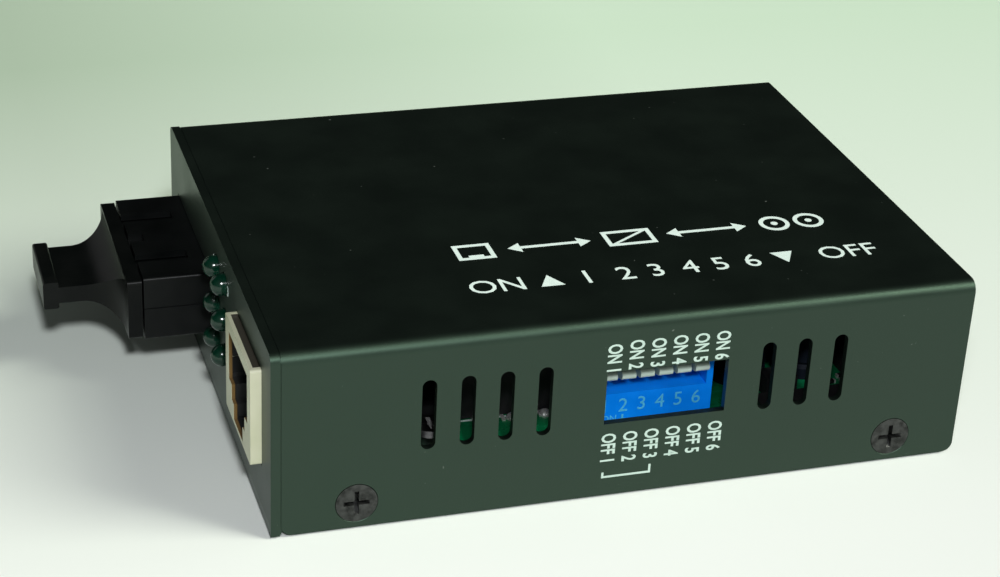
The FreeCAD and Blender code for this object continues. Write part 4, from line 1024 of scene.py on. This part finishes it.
def pin_centres(node_name):
    """Where each separate pin of a CAD node stands, from its own loose parts."""
    loose = bmesh.new()
    loose.from_mesh(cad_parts[node_name].data)
    bmesh.ops.remove_doubles(loose, verts=loose.verts, dist=1e-6)
    seen = set()
    centres = []
    for start in loose.verts:
        if start in seen:
            continue
        seen.add(start)
        island, to_visit = [], [start]
        while to_visit:
            vertex = to_visit.pop()
            island.append(vertex.co)
            for edge in vertex.link_edges:
                other = edge.other_vert(vertex)
                if other not in seen:
                    seen.add(other)
                    to_visit.append(other)
        lowest = min(co.z for co in island)
        foot = [co for co in island if co.z < lowest + PIN_FOOT]
        centres.append((sum(co.x for co in foot) / len(foot),
                        sum(co.y for co in foot) / len(foot)))
    loose.free()
    return centres


joints = []
for node_name in ("transceiver_pins", "dip_pins", "rj45_contacts"):
    joints += pin_centres(node_name)
print("pins to solder:", len(joints))

# %% [markdown]
# Each joint is a small cone. It could be a lathe shape, but from below a cone of
# twelve sides is enough. The tree's cones stand up from their points, so at the
# end the piece is mirrored below the board and its faces are turned back out.

# %% Solder joints under the board
def solder_tree():
    """A small cone of solder on every point."""
    tree, given, out = new_tree("solder_joint", Base=1, Tip=1, Height=1)
    cone = tree.nodes.new("GeometryNodeMeshCone")
    cone.inputs["Vertices"].default_value = 12
    cone.inputs["Side Segments"].default_value = 2
    copies = tree.nodes.new("GeometryNodeInstanceOnPoints")
    tree.links.new(given.outputs["Base"], cone.inputs["Radius Bottom"])
    tree.links.new(given.outputs["Tip"], cone.inputs["Radius Top"])
    tree.links.new(given.outputs["Height"], cone.inputs["Depth"])
    tree.links.new(given.outputs["Points"], copies.inputs["Points"])
    tree.links.new(cone.outputs["Mesh"], copies.inputs["Instance"])
    end_tree(tree, copies.outputs["Instances"], out, solder_tin)
    return tree


under = [(x, y, board_low.z) for x, y in joints]
piece = grow("solder_under", under, solder_tree(), solder_tin, "case", "contact_metal",
             Base=0.85 * MM, Tip=0.35 * MM, Height=0.8 * MM)
for vertex in piece.data.vertices:
    vertex.co.z = 2 * board_low.z - vertex.co.z
piece.data.flip_normals()

# %% [markdown]
# The transformer's taps end in round blobs of solder at its foot, and a white
# line is printed on the board along its front, where the slots let it be seen.
# A blob could be a ball set by hand. Half of each ball is inside the board, so a
# tree that flattens one ball on every point is all it takes.

# %% Solder and print in front of the transformer
def dome_tree():
    """A ball of solder on every point, flattened to a height of its own."""
    tree, given, out = new_tree("solder_dome", Radius=1, Height=1)
    ball = tree.nodes.new("GeometryNodeMeshUVSphere")
    ball.inputs["Segments"].default_value = 20
    ball.inputs["Rings"].default_value = 10
    ball.inputs["Radius"].default_value = 1.0
    size = tree.nodes.new("ShaderNodeCombineXYZ")
    copies = tree.nodes.new("GeometryNodeInstanceOnPoints")
    for axis, name in (("X", "Radius"), ("Y", "Radius"), ("Z", "Height")):
        tree.links.new(given.outputs[name], size.inputs[axis])
    tree.links.new(size.outputs["Vector"], copies.inputs["Scale"])
    tree.links.new(given.outputs["Points"], copies.inputs["Points"])
    tree.links.new(ball.outputs["Mesh"], copies.inputs["Instance"])
    end_tree(tree, copies.outputs["Instances"], out, solder_tin)
    return tree


transformer_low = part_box("line_transformer")[0]
TAP_RADIUS = 0.85 * MM
taps = [(x * MM, transformer_low.y - TAP_RADIUS, board_high.z) for x in (-12.9, -8.4)]
grow("transformer_taps", taps, dome_tree(), solder_tin, "case", "contact_metal",
     Radius=TAP_RADIUS, Height=0.75 * MM)
front_y = transformer_low.y / MM
silk_line = shape(bar(-24.0, front_y - 0.42, -5.4, front_y - 0.08))
stamp("transformer_outline", [silk_line], (0, 0, board_high.z / MM), (1, 0, 0), (0, 1, 0))

# %% [markdown]
# The CAD leaves the small parts out. Black blocks on the front strip of the board
# are painted shade in the form of parts: they stand where the slots show only
# shade inside the case. A few chip resistors with tinned ends are seen through the
# slots too. Each could be a cube of its own. One tree that puts a box on every
# point serves them all, and its three sizes are what makes the kinds differ.

# %% Small parts on the board
def block_tree():
    """A box of the given size on every point."""
    tree, given, out = new_tree("moulded_block", Length=1, Depth=1, Height=1)
    size = tree.nodes.new("ShaderNodeCombineXYZ")
    box = tree.nodes.new("GeometryNodeMeshCube")
    copies = tree.nodes.new("GeometryNodeInstanceOnPoints")
    for axis, name in (("X", "Length"), ("Y", "Depth"), ("Z", "Height")):
        tree.links.new(given.outputs[name], size.inputs[axis])
    tree.links.new(size.outputs["Vector"], box.inputs["Size"])
    tree.links.new(given.outputs["Points"], copies.inputs["Points"])
    tree.links.new(box.outputs["Mesh"], copies.inputs["Instance"])
    end_tree(tree, copies.outputs["Instances"], out, chip_black)
    return tree


def block_sizes(length, depth, height):
    """The named inputs of the tree, from millimetres."""
    return {"Length": length * MM, "Depth": depth * MM, "Height": height * MM}


block = block_tree()
# Painted shade: dark blocks set where the slots show only shade inside the case.
BLOCKS = {
    # columns on X, row on Y, then length, depth and height
    "shade_block_row": ((22.0, 26.9, 31.8), -30.7, 4.6, 3.4, 1.3),
    "shade_block_behind_row": ((24.1,), -27.0, 4.4, 3.0, 3.0),
    "shade_block_power_end": ((37.2,), -20.6, 4.6, 6.4, 4.0),
    "shade_block_port_end": ((-24.1,), -22.4, 4.2, 3.8, 2.4),
}
for name, (columns, row, length, depth, height) in BLOCKS.items():
    seats = [(x * MM, row * MM, board_high.z + height * MM / 2) for x in columns]
    grow(name, seats, block, chip_black, "case", "chip_black",
         **block_sizes(length, depth, height))

# %% [markdown]
# A chip resistor is a flake of black ceramic with a tinned end on either side.
# Two boxes in one place make it: a long bright one, and a shorter dark one that
# is a little wider and taller, so that it covers the middle.

# %% Chip resistors
CHIP = (1.2, 0.6, 0.45)
CHIP_MIDDLE = (0.7, 0.64, 0.49)
chip_seats = [(x * MM, y * MM, board_high.z + CHIP[2] * MM / 2)
              for x, y in ((32.4, -26.4), (34.3, -26.4), (34.3, -25.2))]
grow("chip_ends", chip_seats, block, solder_tin, "case", "contact_metal",
     **block_sizes(*CHIP))
grow("chip_bodies", chip_seats, block, chip_black, "case", "chip_black",
     **block_sizes(*CHIP_MIDDLE))
